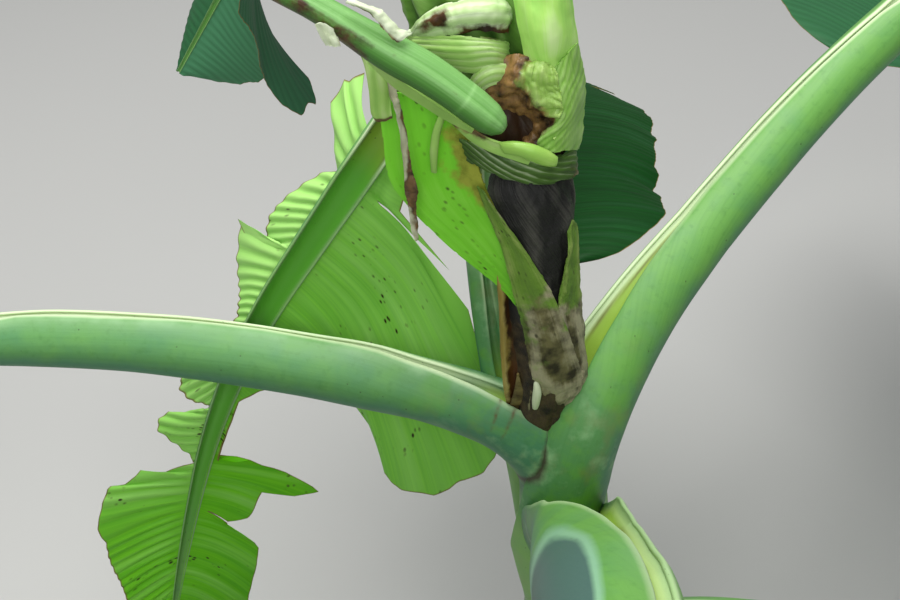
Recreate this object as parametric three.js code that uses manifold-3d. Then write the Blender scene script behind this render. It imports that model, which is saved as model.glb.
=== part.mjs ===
// A young banana plant: a leaning pseudostem of wrapped leaf sheaths, eight full leaves on channelled stalks,
// one crumpled leaf that hangs, and a rotted, twisted heart leaf with a rolled leaf broken over beside it.
// Millimetres, +Z up. The origin is on the ground, in the middle of the flat cut under the pseudostem.
import * as THREE from "three";
import { LoftGeometry } from "three/addons/geometries/LoftGeometry.js";
import { mergeVertices } from "three/addons/utils/BufferGeometryUtils.js";
import Module from "manifold-3d";

const wasm = await Module();
wasm.setup();

// The pseudostem, from the ground to the throat where the leaf stalks part.
const THROAT_HEIGHT = 950;
const LEAN_DEG = 6; // towards -X
const STEM_FOOT_RADIUS = 62;
const TAPER_POWER = 0.7; // below 1, the stem narrows less and less towards the throat
const STEM_FLARE = 16; // how much the foot swells beyond the straight taper
const FLARE_HEIGHT = 130;
const THROAT_RADIUS = 26;
const STEM_TOP = 910; // above it the pseudostem goes over into the stalks
const SHEATH_STEP = 0.07; // how far a sheath's free edge stands proud, as a share of the radius
const SHEATHS_ROUND = 3;
const SHEATH_TWIST_DEG = 75; // how far the sheath edges wind round over the stem's height

const GAP = 0.4; // clearance between neighbouring solids
const BLADE_THICKNESS = 7;
const CUT_WIDTH = 9; // half the mouth of a tear in a blade
const SQUARE_END = 90; // over this length the veins' lean dies out, so that a blade ends in a flat section

const leanRadians = THREE.MathUtils.degToRad(LEAN_DEG);
const stemAxis = new THREE.Vector3(-Math.sin(leanRadians), 0, Math.cos(leanRadians));
const throat = new THREE.Vector3(-THROAT_HEIGHT * Math.tan(leanRadians), 0, THROAT_HEIGHT);

const FOLIAGE = { fresh: 0x5fa52a, mature: 0x3c7a35, stalk: 0x86bd62, dead: 0x4a3a28, stem: 0x7f9a5b };

// The value at x on straight ramps between [x, value, value, ...] stations.
function ramp(stations, x, column = 1) {
  if (x <= stations[0][0]) return stations[0][column];
  for (let i = 1; i < stations.length; i++) {
    const before = stations[i - 1];
    const after = stations[i];
    if (x <= after[0]) {
      const share = (x - before[0]) / (after[0] - before[0]);
      return before[column] + (after[column] - before[column]) * share;
    }
  }
  return stations[stations.length - 1][column];
}

// A repeatable number from 0 to 1 for a leaf's seed and a counter.
function chance(seed, count) {
  const wave = Math.sin(seed * 12.9898 + count * 78.233) * 43758.5453;
  return wave - Math.floor(wave);
}

// A limb's course, walked from start in short steps. Each station is [distance, heading, climb, roll] in mm and
// degrees: heading is turned from +X towards +Y, climb is above the level, and roll turns the limb about itself.
function walk(start, stations) {
  const STRIDE = 5;
  const points = [start.clone()];
  const length = stations[stations.length - 1][0];
  const directionAt = (s) => {
    const heading = THREE.MathUtils.degToRad(ramp(stations, s, 1));
    const climb = THREE.MathUtils.degToRad(ramp(stations, s, 2));
    const level = new THREE.Vector3(Math.cos(heading), Math.sin(heading), 0);
    const along = level.clone().multiplyScalar(Math.cos(climb)).setZ(Math.sin(climb));
    const over = level.clone().multiplyScalar(-Math.sin(climb)).setZ(Math.cos(climb));
    return { along, over, left: new THREE.Vector3(-level.y, level.x, 0) };
  };
  for (let s = STRIDE; s <= length + STRIDE; s += STRIDE) {
    const step = directionAt(s - STRIDE / 2).along.multiplyScalar(STRIDE);
    points.push(points[points.length - 1].clone().add(step));
  }
  return (s) => {
    const index = Math.min(Math.floor(s / STRIDE), points.length - 2);
    const at = points[index].clone().lerp(points[index + 1], s / STRIDE - index);
    const { along, over, left } = directionAt(s);
    const roll = THREE.MathUtils.degToRad(ramp(stations, s, 3));
    const side = left.clone().multiplyScalar(Math.cos(roll)).addScaledVector(over, Math.sin(roll));
    const up = over.clone().multiplyScalar(Math.cos(roll)).addScaledVector(left, -Math.sin(roll));
    return { at, along, side, up };
  };
}

// A point of a section: side is to the limb's left, up is towards its channel, ahead is along it.
function place(frame, side, up, ahead = 0) {
  return frame.at
    .clone()
    .addScaledVector(frame.side, side)
    .addScaledVector(frame.up, up)
    .addScaledVector(frame.along, ahead);
}

// A closed geometry as a solid, with its faces turned outwards.
function solidOf(geometry) {
  const bare = new THREE.BufferGeometry();
  bare.setAttribute("position", geometry.attributes.position);
  bare.setIndex(geometry.index);
  const merged = mergeVertices(bare, 1e-3);
  const corners = merged.index.array;
  const faces = [];
  for (let i = 0; i < corners.length; i += 3) {
    const [a, b, c] = [corners[i], corners[i + 1], corners[i + 2]];
    if (a !== b && b !== c && a !== c) faces.push(a, b, c);
  }
  const build = (triangles) =>
    new wasm.Manifold(
      new wasm.Mesh({
        numProp: 3,
        vertProperties: merged.attributes.position.array,
        triVerts: new Uint32Array(triangles),
      }),
    );
  const made = build(faces);
  return made.volume() > 0 ? made : build(faces.reverse());
}

function geometryOf(solid) {
  const mesh = solid.getMesh();
  const geometry = new THREE.BufferGeometry();
  geometry.setAttribute("position", new THREE.BufferAttribute(new Float32Array(mesh.vertProperties), 3));
  geometry.setIndex(new THREE.BufferAttribute(new Uint32Array(mesh.triVerts), 1));
  geometry.computeVertexNormals();
  return geometry;
}

const loft = (sections) => solidOf(new LoftGeometry(sections, { capStart: true, capEnd: true }));

// The evenly spread distances from start to end, with some more added in between.
function spaced(start, end, count, extra = []) {
  const even = Array.from({ length: count + 1 }, (_, i) => start + ((end - start) * i) / count);
  const inside = extra.filter((s) => s > start + 1 && s < end - 1);
  const sorted = [...even, ...inside].sort((a, b) => a - b);
  return sorted.filter((s, i) => i === 0 || s - sorted[i - 1] > 1.5);
}

// A leaf stalk's section: round under, with the channel open on top.
const STALK_SIDES = 10;
const CHANNEL_HALF_ANGLE_DEG = 24;
function stalkSection(frame, radius, grow) {
  const points = [];
  const half = THREE.MathUtils.degToRad(CHANNEL_HALF_ANGLE_DEG);
  for (let i = 0; i < STALK_SIDES; i++) {
    const angle = Math.PI / 2 + half + ((2 * Math.PI - 2 * half) * i) / (STALK_SIDES - 1);
    points.push(place(frame, (radius + grow) * Math.cos(angle), (radius + grow) * Math.sin(angle)));
  }
  const channelFloor = grow > 0 ? radius : radius * 0.1;
  points.push(place(frame, 0, channelFloor + grow));
  return points;
}

function stalk(course, girth, start, end, count, grow = 0) {
  const distances = spaced(start, end, count);
  return loft(distances.map((s) => stalkSection(course(s), ramp(girth, s), grow)));
}

// Half of a blade across, from the rib (reach 0) to the margin (reach 1): it leaves the rib at one angle and
// bends steadily to another. The veins, and so the section, lean forward by the leaf's slant.
function bladePoint(frame, leaf, reach, halfWidth, hand, lift) {
  const rootAngle = THREE.MathUtils.degToRad(ramp(leaf.rise[hand], frame.share, 1));
  const marginAngle = THREE.MathUtils.degToRad(ramp(leaf.rise[hand], frame.share, 2));
  const bend = marginAngle - rootAngle || 1e-6;
  const angle = rootAngle + bend * reach;
  const out = (halfWidth / bend) * (Math.sin(angle) - Math.sin(rootAngle));
  const up = (halfWidth / bend) * (Math.cos(rootAngle) - Math.cos(angle));
  const sign = hand === 0 ? 1 : -1;
  const side = sign * (out - lift * Math.sin(angle));
  return place(frame, side, up + lift * Math.cos(angle), frame.slant * halfWidth * reach);
}

const REACHES = [1, 0.62, 0.3];
const RIB_RATIO = 0.85; // the rib's half-width under the blade, as a share of the stalk's girth there

// One section across a blade: the top from the left margin to the right one, then the underside back.
function bladeSection(frame, leaf, girth, widths) {
  const half = BLADE_THICKNESS / 2;
  const rib = Math.max(girth * RIB_RATIO, half);
  const least = rib + 3;
  const top = [];
  const under = [];
  for (const hand of [0, 1]) {
    const width = Math.max(widths[hand], least);
    const reaches = hand === 0 ? REACHES : [...REACHES].reverse();
    if (hand === 1) {
      top.push(place(frame, 0, half * 0.4));
      under.push(place(frame, 0, -half - girth));
    }
    for (const reach of reaches) {
      const share = rib / width + reach * (1 - rib / width);
      top.push(bladePoint(frame, leaf, share, width, hand, half));
      under.push(bladePoint(frame, leaf, share, width, hand, -half));
    }
  }
  return [...top, ...under.reverse()];
}

// How wide a full leaf's half is at a share of its length: round at the base, blunt at the tip.
function leafOutline(share) {
  const base = Math.sqrt(1 - (1 - Math.min(share / 0.2, 1)) ** 2);
  const tip = (1 - Math.max(0, (share - 0.5) / 0.5) ** 2.3) ** 0.8;
  return base * tip;
}

// Tears along the veins, as [share of the length, hand, share of the half-width that is left].
function seededTears(leaf) {
  const tears = [];
  for (const hand of [0, 1]) {
    for (let k = 0; k < leaf.tears; k++) {
      const count = k + hand * 20;
      const share = 0.16 + (0.76 * (k + 0.15 + 0.7 * chance(leaf.seed, count))) / leaf.tears;
      tears.push([share, hand, 0.1 + 0.45 * chance(leaf.seed, count + 50)]);
    }
  }
  return tears;
}

// The half-widths of both hands of a blade at a distance along the leaf.
function halfWidths(leaf, s) {
  const length = leaf.bladeEnd - leaf.bladeStart;
  const share = (s - leaf.bladeStart) / length;
  return [0, 1].map((hand) => {
    const full = leaf.width ? ramp(leaf.width[hand], share) : leaf.halfWidth * leafOutline(share);
    let left = 1;
    for (const [tearShare, tearHand, rest] of leaf.cuts) {
      const away = Math.abs(share - tearShare) * length;
      if (tearHand === hand && away < CUT_WIDTH) left = Math.min(left, rest + ((1 - rest) * away) / CUT_WIDTH);
    }
    return full * left;
  });
}

function blade(leaf, start, end, count) {
  const length = leaf.bladeEnd - leaf.bladeStart;
  const edges = leaf.cuts.flatMap(([share]) => {
    const s = leaf.bladeStart + share * length;
    return [s - CUT_WIDTH, s, s + CUT_WIDTH];
  });
  const sections = spaced(start, end, count, edges).map((s) => {
    const frame = leaf.course(s);
    frame.share = (s - leaf.bladeStart) / length;
    frame.slant = leaf.slant * Math.min(1, (s - start) / SQUARE_END, (end - s) / SQUARE_END);
    return bladeSection(frame, leaf, ramp(leaf.girth, s), halfWidths(leaf, s));
  });
  return loft(sections);
}

// The leaves. start is where a course begins, measured from the throat: [along +X, along +Y, down the stem].
// rise holds, for each hand, [share of the blade, angle at the rib, angle at the margin]. The left hand comes first.
const CUPPED = [
  [0, 26, 6],
  [0.25, 22, -12],
  [0.7, 12, -28],
  [1, 4, -12],
];
const DROOPED = [
  [0, 22, -4],
  [0.3, 8, -38],
  [1, 0, -24],
];
const LOWERED = [
  [0, 2, -16],
  [0.25, 8, -24],
  [0.7, 12, -28],
  [1, 4, -12],
];
const FOLDED = [
  [0, 22, -4],
  [0.4, 0, -60],
  [1, -30, -80],
];
const LEAVES = [
  {
    name: "front_leaf",
    start: [-10, 0, 112],
    course: [
      [0, -79, 90, 0],
      [45, -83, 68, -4],
      [90, -87, 52, -14],
      [200, -97.5, 49, -20],
      [420, -95.2, 50, -20],
      [520, -98, 36, 0],
      [760, -97, 8, 0],
      [1080, -95, -28, 0],
      [1420, -94, -56, 0],
    ],
    girth: [
      [0, 24],
      [90, 26],
      [200, 26],
      [320, 25.7],
      [430, 24.3],
      [800, 12],
      [1410, 2],
    ],
    bladeStart: 490,
    bladeEnd: 1410,
    halfWidth: 185,
    rise: [LOWERED, LOWERED],
    slant: 0.26,
    tears: 3,
    seed: 3,
  },
  {
    name: "right_leaf",
    start: [-8, 0, 80],
    course: [
      [0, 45, 90, 0],
      [45, 50, 85, 0],
      [90, 49, 62, -2],
      [130, 53, 35, -6],
      [200, 43, 31, -6],
      [300, 41.6, 28, -4],
      [440, 32, 25, 0],
      [760, 32, 0, 0],
      [1080, 31, -36, 0],
      [1430, 30, -60, 0],
    ],
    girth: [
      [0, 30],
      [60, 30],
      [100, 27.5],
      [150, 23.5],
      [230, 18.5],
      [400, 16],
      [800, 10],
      [1420, 2],
    ],
    bladeStart: 450,
    bladeEnd: 1420,
    halfWidth: 195,
    rise: [CUPPED, CUPPED],
    slant: 0.26,
    tears: 3,
    seed: 5,
  },
  {
    name: "left_leaf",
    start: [-7, 0, 70],
    course: [
      [0, 150, 87, 0],
      [40, 156, 86, 0],
      [75, 157, 44, 0],
      [110, 160, 8, -4],
      [160, 169, 5, -8],
      [260, 172, 4, -8],
      [400, 178, -2, 0],
      [700, 181, -22, 0],
      [1240, 184, -58, 0],
    ],
    girth: [
      [0, 22],
      [80, 21.5],
      [150, 19],
      [390, 16.5],
      [700, 10],
      [1230, 2],
    ],
    bladeStart: 455,
    bladeEnd: 1230,
    halfWidth: 165,
    rise: [CUPPED, CUPPED],
    slant: 0.26,
    tears: 3,
    seed: 8,
  },
  {
    name: "back_leaf",
    start: [-14, 12, 234],
    course: [
      [0, 95, 82, 0],
      [50, 90, 50, 0],
      [120, 88, 16, 0],
      [300, 87, 0, 0],
      [450, 85, -8, 0],
      [840, 82, -34, 0],
    ],
    girth: [
      [0, 24],
      [60, 20],
      [120, 15],
      [330, 12],
      [600, 7],
      [830, 2],
    ],
    bladeStart: 325,
    bladeEnd: 830,
    halfWidth: 108,
    rise: [DROOPED, DROOPED],
    slant: 0.22,
    cuts: [
      [0.482, 0, 0.11],
      [0.704, 0, 0.16],
      [0.86, 1, 0.5],
    ],
    seed: 13,
  },
  {
    name: "back_right_leaf",
    start: [-16, 14, 231],
    course: [
      [0, 77, 64, 0],
      [50, 71, 46, 0],
      [100, 71, 46, 0],
      [150, 76, 18, 0],
      [300, 57, 3, 0],
      [450, 53, -1, 0],
      [700, 54, -6, 0],
      [900, 55, -10, 0],
      [1150, 56, -30, 0],
      [1400, 56, -48, 0],
    ],
    girth: [
      [0, 20],
      [60, 18],
      [120, 15],
      [600, 12],
      [900, 9],
      [1390, 2],
    ],
    bladeStart: 700,
    bladeEnd: 1390,
    halfWidth: 150,
    rise: [DROOPED, DROOPED],
    slant: 0.22,
    tears: 3,
    seed: 21,
  },
  {
    name: "back_left_leaf",
    start: [-6, 14, 173],
    course: [
      [0, 104, 62, 0],
      [50, 108, 50, 0],
      [100, 104, 42, 0],
      [150, 88, 40, 0],
      [330, 84, 38, 0],
      [430, 98, 28, 0],
      [560, 130, 6, 0],
      [740, 138, -30, -20],
      [880, 140, -58, -45],
      [960, 172, -60, -60],
      [1110, 200, -56, -60],
    ],
    girth: [
      [0, 14],
      [120, 13],
      [480, 11],
      [800, 7],
      [1100, 2],
    ],
    bladeStart: 480,
    bladeEnd: 1100,
    width: [
      [
        [0, 10],
        [0.02, 60],
        [0.05, 92],
        [0.1, 121],
        [0.15, 135],
        [0.2, 140],
        [0.5, 142],
        [0.6, 150],
        [0.66, 164],
        [0.7, 168],
        [0.74, 158],
        [0.77, 118],
        [0.8, 98],
        [0.85, 92],
        [0.9, 82],
        [0.95, 66],
        [0.98, 42],
        [1, 8],
      ],
      [
        [0, 10],
        [0.02, 54],
        [0.05, 80],
        [0.1, 104],
        [0.15, 116],
        [0.2, 120],
        [0.5, 120],
        [0.6, 117],
        [0.7, 108],
        [0.8, 89],
        [0.9, 58],
        [0.96, 29],
        [1, 6],
      ],
    ],
    rise: [DROOPED, FOLDED],
    slant: 0.42,
    cuts: [
      [0.257, 0, 0.4],
      [0.765, 0, 0.45],
      [0.3, 1, 0.3],
      [0.55, 1, 0.4],
    ],
    seed: 25,
  },
  {
    name: "low_right_leaf",
    start: [2, -14, 235],
    course: [
      [0, -30, 84, 0],
      [60, -27, 58, 0],
      [170, -24, 28, 0],
      [300, -22, 12, 0],
      [620, -20, -22, 0],
      [1080, -18, -58, 0],
    ],
    girth: [
      [0, 25],
      [60, 21],
      [130, 17],
      [310, 14],
      [600, 9],
      [1070, 2],
    ],
    bladeStart: 310,
    bladeEnd: 1070,
    halfWidth: 165,
    rise: [DROOPED, DROOPED],
    slant: 0.22,
    tears: 3,
    seed: 30,
  },
  {
    name: "low_left_leaf",
    start: [-12, -16, 290],
    course: [
      [0, 232, 84, 0],
      [60, 230, 56, 0],
      [180, 228, 24, 0],
      [300, 227, 8, 0],
      [620, 225, -26, 0],
      [1040, 222, -60, 0],
    ],
    girth: [
      [0, 25],
      [60, 21],
      [130, 17],
      [300, 14],
      [600, 9],
      [1030, 2],
    ],
    bladeStart: 300,
    bladeEnd: 1030,
    halfWidth: 160,
    rise: [DROOPED, DROOPED],
    slant: 0.22,
    tears: 3,
    seed: 39,
  },
  {
    name: "hanging_leaf",
    start: [-23, 12, 10],
    course: [
      [0, 132, 50, 0],
      [60, 108, 58, 0],
      [130, 98.2, 56.2, 0],
      [215, 127.3, 97.2, -8],
      [240, 185.7, 36.3, -40],
      [262, 195.7, -49.8, -66],
      [285, 191.2, -57.3, -72],
      [415, 190, -58, -73],
      [505, 192, -66, -74],
      [605, 216, -70, -72],
      [785, 232, -72, -72],
    ],
    girth: [
      [0, 12],
      [60, 9.5],
      [200, 9.5],
      [262, 11],
      [345, 10.5],
      [505, 8],
      [685, 4],
      [775, 1.5],
    ],
    bladeStart: 307,
    bladeEnd: 775,
    width: [
      [
        [0, 16],
        [0.05, 40],
        [0.1, 58],
        [0.13, 165],
        [0.26, 215],
        [0.42, 205],
        [0.46, 46],
        [0.52, 22],
        [0.58, 26],
        [0.62, 84],
        [0.7, 54],
        [0.85, 52],
        [0.95, 40],
        [1, 6],
      ],
      [
        [0, 18],
        [0.05, 54],
        [0.12, 52],
        [0.2, 42],
        [0.32, 44],
        [0.42, 38],
        [0.52, 42],
        [0.6, 46],
        [0.66, 62],
        [0.8, 68],
        [0.92, 50],
        [1, 6],
      ],
    ],
    rise: [
      [
        [0, 8, 4],
        [0.3, 4, -16],
        [0.6, 2, -10],
        [1, 2, -8],
      ],
      [
        [0, -10, -55],
        [0.3, -10, -55],
        [0.6, -4, -30],
        [1, 2, -8],
      ],
    ],
    slant: 0.4,
    cuts: [
      [0.115, 0, 0.3],
      [0.445, 0, 0.2],
      [0.6, 0, 0.25],
      [0.72, 0, 0.25],
      [0.15, 1, 0.55],
      [0.36, 1, 0.5],
      [0.55, 1, 0.2],
      [0.64, 1, 0.2],
    ],
    seed: 34,
  },
];

for (const leaf of LEAVES) {
  const [right, back, down] = leaf.start;
  const start = throat.clone().addScaledVector(stemAxis, -down).add(new THREE.Vector3(right, back, 0));
  leaf.course = walk(start, leaf.course);
  leaf.cuts ??= seededTears(leaf);
}

// The pseudostem: level sections up the leaning axis, each stepped where a sheath's free edge stands proud.
function pseudostem() {
  const SIDES = 24;
  const LEVELS = [0, 25, 60, 100, 150, 230, 320, 420, 520, 620, 720, 810, 870, STEM_TOP];
  const sections = LEVELS.map((z) => {
    const share = z / THROAT_HEIGHT;
    const flare = STEM_FLARE * Math.max(0, 1 - z / FLARE_HEIGHT) ** 2;
    const radius = STEM_FOOT_RADIUS + (THROAT_RADIUS - STEM_FOOT_RADIUS) * share ** TAPER_POWER + flare;
    return Array.from({ length: SIDES }, (_, i) => {
      const angle = (i / SIDES) * 2 * Math.PI;
      const turn = (angle / (2 * Math.PI)) * SHEATHS_ROUND + (share * SHEATH_TWIST_DEG * SHEATHS_ROUND) / 360;
      const proud = 1 + SHEATH_STEP * (turn - Math.floor(turn) - 0.5);
      const x = -z * Math.tan(leanRadians) + radius * proud * Math.cos(angle);
      return new THREE.Vector3(x, radius * proud * Math.sin(angle), z);
    });
  });
  return loft(sections);
}

// The heart: a dead, twisted scroll that rises from the throat, with a knot of crumpled green blade on it.
const HEART_COURSE = walk(throat.clone().add(new THREE.Vector3(-8, 2, -27)), [
  [0, 110, 83, -30],
  [100, 122, 82, -30],
  [180, 120, 76, -32],
  [250, 138, 74, -40],
  [310, 132, 64, -38],
  [400, 128, 64, -36],
]);
const SCROLL_END = 212;
const SCROLL_GIRTH = [
  [0, 13],
  [45, 15],
  [120, 19],
  [212, 24],
];
// The knot's stations: [distance, reach to the left, reach to the right, reach to the front and back].
const KNOT = [
  [212, 22, 24, 19],
  [234, 28, 30, 24],
  [268, 27, 36, 27],
  [285, 36, 37, 30],
  [303, 46, 38, 31],
  [322, 42, 39, 29],
  [340, 27, 31, 21],
  [350, 12, 15, 9],
];

// A scroll's section: a flattened round whose radius grows once round and steps in where the margin lies on it.
function scrollSection(frame, radius, grow, sides = 12) {
  return Array.from({ length: sides }, (_, i) => {
    const turn = i / (sides - 1);
    const angle = turn * 2 * Math.PI * (1 - 0.06);
    const reach = (radius + grow) * (grow > 0 ? 1.06 : 0.86 + 0.2 * turn);
    return place(frame, reach * Math.cos(angle), 0.85 * reach * Math.sin(angle));
  });
}

function heartScroll(grow = 0) {
  const distances = spaced(0, SCROLL_END, 8);
  return loft(distances.map((s) => scrollSection(HEART_COURSE(s), ramp(SCROLL_GIRTH, s), grow)));
}

function heartKnot(grow = 0) {
  const SIDES = 16;
  const start = KNOT[0][0] + GAP;
  const length = KNOT[KNOT.length - 1][0] - start;
  const sections = spaced(start, start + length, 9).map((s) => {
    const share = (s - start) / length;
    const frame = HEART_COURSE(s);
    return Array.from({ length: SIDES }, (_, i) => {
      const angle = (i / SIDES) * 2 * Math.PI;
      const fold = 1 + 0.07 * Math.sin(3 * angle + 5 * share) + 0.04 * Math.sin(5 * angle - 7 * share);
      const across = ramp(KNOT, s, Math.cos(angle) > 0 ? 1 : 2);
      const deep = ramp(KNOT, s, 3);
      return place(frame, (across * fold + grow) * Math.cos(angle), (deep * fold + grow) * Math.sin(angle));
    });
  });
  return loft(sections);
}

// The rolled leaf, broken over: it starts inside the knot and runs out to the left, up to a point.
const ROLLED_COURSE = walk(throat.clone().add(new THREE.Vector3(-41, 6, 235)), [
  [0, 168, 40, 0],
  [25, 166, 36, 0],
  [60, 170, 26, 0],
  [132, 170, 27, 0],
  [260, 172, 26, 0],
  [400, 175, 34, 0],
]);
const ROLLED_GIRTH = [
  [0, 7],
  [14, 9],
  [140, 9.5],
  [260, 8.5],
  [340, 5.5],
  [390, 1.6],
];

function rolledLeaf(grow = 0) {
  const distances = [0, 6, 16, 40, 80, 132, 190, 250, 300, 345, 370, 390];
  return loft(distances.map((s) => scrollSection(ROLLED_COURSE(s), ramp(ROLLED_GIRTH, s), grow, 10)));
}

// A sheet between two edges that are walked as courses: thickness is laid to both sides of it.
function sheetBetween(start, stations, widths, count, thickness) {
  const course = walk(start, stations);
  const end = stations[stations.length - 1][0];
  const sections = spaced(0, end, count).map((s) => {
    const frame = course(s);
    const left = ramp(widths, s, 1);
    const right = ramp(widths, s, 2);
    const bow = ramp(widths, s, 3);
    const across = [left, left / 2, 0, -right / 2, -right];
    const rise = [bow, bow * 0.3, 0, bow * 0.3, bow];
    const top = across.map((side, i) => place(frame, side, rise[i] + thickness / 2));
    const under = across.map((side, i) => place(frame, side, rise[i] - thickness / 2));
    return [...top, ...under.reverse()];
  });
  return loft(sections);
}

// The half-unrolled sheet that runs up from the scroll's side to the rolled leaf.
function heartFlap() {
  return sheetBetween(
    throat.clone().add(new THREE.Vector3(-17, 6, 94)),
    [
      [0, 150, 62, -46],
      [60, 158, 60, -50],
      [120, 151, 61, -46],
      [165, 160, 62, -50],
    ],
    [
      [0, 3, 3, 0],
      [40, 14, 10, -2],
      [90, 23, 20, -4],
      [125, 20, 22, -4],
      [165, 10, 16, -2],
    ],
    8,
    4,
  );
}

// The dry brown sheath that stands between the hanging leaf's stalk and the heart.
function drySheath() {
  return sheetBetween(
    throat.clone().add(new THREE.Vector3(-20, 16, -10)),
    [
      [0, 120, 74, 0],
      [60, 122, 72, 0],
      [125, 126, 70, 0],
    ],
    [
      [0, 10, 9, 2],
      [60, 11, 9, 3],
      [125, 4, 4, 1],
    ],
    4,
    3.5,
  );
}

// The largest piece of a solid, without the scraps that a cut leaves.
function largest(solid) {
  return solid.decompose().sort((a, b) => b.volume() - a.volume())[0];
}

const model = new THREE.Group();
function addPart(name, solid, color, roughness = 0.5) {
  const material = new THREE.MeshStandardMaterial({ color, roughness, metalness: 0 });
  const mesh = new THREE.Mesh(geometryOf(solid), material);
  mesh.name = name;
  model.add(mesh);
}

// Outer solids come first and are kept whole: each later one is cut clear of those before it.
const stem = pseudostem();
addPart("pseudostem", stem, FOLIAGE.stem, 0.6);

function stemClearance() {
  const sections = [600, 800, STEM_TOP + GAP].map((z) => {
    const share = z / THROAT_HEIGHT;
    const radius = STEM_FOOT_RADIUS + (THROAT_RADIUS - STEM_FOOT_RADIUS) * share ** TAPER_POWER;
    return Array.from({ length: 24 }, (_, i) => {
      const angle = (i / 24) * 2 * Math.PI;
      const reach = radius * (1 + SHEATH_STEP / 2) + GAP;
      const x = -z * Math.tan(leanRadians) + reach * Math.cos(angle);
      return new THREE.Vector3(x, reach * Math.sin(angle), z);
    });
  });
  return loft(sections);
}

const taken = [stemClearance()];
function fitted(solid, clearance) {
  const cut = taken.reduce((rest, other) => rest.subtract(other), solid);
  taken.push(clearance);
  return largest(cut);
}

for (const leaf of LEAVES) {
  const end = leaf.bladeStart;
  const body = stalk(leaf.course, leaf.girth, 0, end - GAP, 10);
  const clearance = stalk(leaf.course, leaf.girth, 0, end, 10, GAP);
  addPart(`${leaf.name}_stalk`, fitted(body, clearance), FOLIAGE.stalk, 0.45);
}
addPart("heart_scroll", fitted(heartScroll(), heartScroll(GAP)), FOLIAGE.dead, 0.8);
addPart("heart_knot", fitted(heartKnot(), heartKnot(GAP)), FOLIAGE.fresh, 0.5);
addPart("rolled_leaf", fitted(rolledLeaf(), rolledLeaf(GAP)), FOLIAGE.fresh, 0.45);
const flap = heartFlap();
addPart("heart_flap", fitted(flap, flap), FOLIAGE.fresh, 0.5);
const sheath = drySheath();
addPart("dry_sheath", fitted(sheath, sheath), FOLIAGE.dead, 0.8);

for (const leaf of LEAVES) {
  const color = leaf.name.startsWith("back") ? FOLIAGE.mature : FOLIAGE.fresh;
  const middle = leaf.bladeStart + 0.48 * (leaf.bladeEnd - leaf.bladeStart);
  const inner = blade(leaf, leaf.bladeStart, middle - GAP, 8);
  const outer = blade(leaf, middle, leaf.bladeEnd - 1, 8);
  const cutClear = (solid) => largest(taken.reduce((rest, other) => rest.subtract(other), solid));
  addPart(`${leaf.name}_inner_blade`, cutClear(inner), color, 0.4);
  addPart(`${leaf.name}_outer_blade`, cutClear(outer), color, 0.4);
}

export default model;
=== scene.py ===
"""A young banana plant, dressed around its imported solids.

The plant stands on the ground at the origin and leans towards -X. Lengths in the tables are in mm and angles in
degrees; a mesh gets metres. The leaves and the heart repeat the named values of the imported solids, and each leaf is
worked out again with its veins, waves, tears and torn margins.
"""

import logging
import math
from dataclasses import dataclass, field
from enum import Enum
from typing import Optional, Sequence

import bpy
import numpy as np
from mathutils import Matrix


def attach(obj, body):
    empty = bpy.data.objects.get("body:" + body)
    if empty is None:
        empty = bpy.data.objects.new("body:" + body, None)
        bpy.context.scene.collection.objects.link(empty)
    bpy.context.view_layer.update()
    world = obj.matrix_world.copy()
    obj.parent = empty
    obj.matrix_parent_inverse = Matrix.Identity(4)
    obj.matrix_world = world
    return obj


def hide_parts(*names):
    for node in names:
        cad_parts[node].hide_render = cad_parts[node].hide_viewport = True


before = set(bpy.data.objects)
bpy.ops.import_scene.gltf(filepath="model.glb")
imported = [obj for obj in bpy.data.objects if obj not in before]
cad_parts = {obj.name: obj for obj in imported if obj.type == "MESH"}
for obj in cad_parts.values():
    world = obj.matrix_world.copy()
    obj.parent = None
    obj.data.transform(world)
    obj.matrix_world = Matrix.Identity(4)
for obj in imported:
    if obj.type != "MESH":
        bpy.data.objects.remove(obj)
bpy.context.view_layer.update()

log = logging.getLogger("banana_plant")

Array = np.ndarray
Stations = Sequence[Sequence[float]]
Net = Sequence[Sequence[Sequence[float]]]
Socket = bpy.types.NodeSocket

MM = 0.001
BODY = "root"
SHARP_DEG = 60
THROAT_HEIGHT = 950.0
LEAN = math.radians(6)
STEM_AXIS = np.array([-math.sin(LEAN), 0.0, math.cos(LEAN)])
THROAT = np.array([-THROAT_HEIGHT * math.tan(LEAN), 0.0, THROAT_HEIGHT])


# ---- numbers -------------------------------------------------------------------------------------------------------


def ramp(stations: Stations, x: Array, column: int = 1) -> Array:
    """Reads a column of a table at x, on straight ramps between its rows, which start with a place along a limb."""
    table = np.array([row[: column + 1] for row in stations], float)
    return np.interp(x, table[:, 0], table[:, column])


def smooth(x: Array, low: float, high: float) -> Array:
    """0 below low, 1 above high, and 3t^2 - 2t^3 between."""
    t = np.clip((x - low) / (high - low), 0, 1)
    return t * t * (3 - 2 * t)


def chance(seed: float, count: Array) -> Array:
    """Repeatable numbers from 0 to 1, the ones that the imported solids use: the fraction of a large sine."""
    wave = np.sin(seed * 12.9898 + np.asarray(count) * 78.233) * 43758.5453
    return wave - np.floor(wave)


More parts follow.
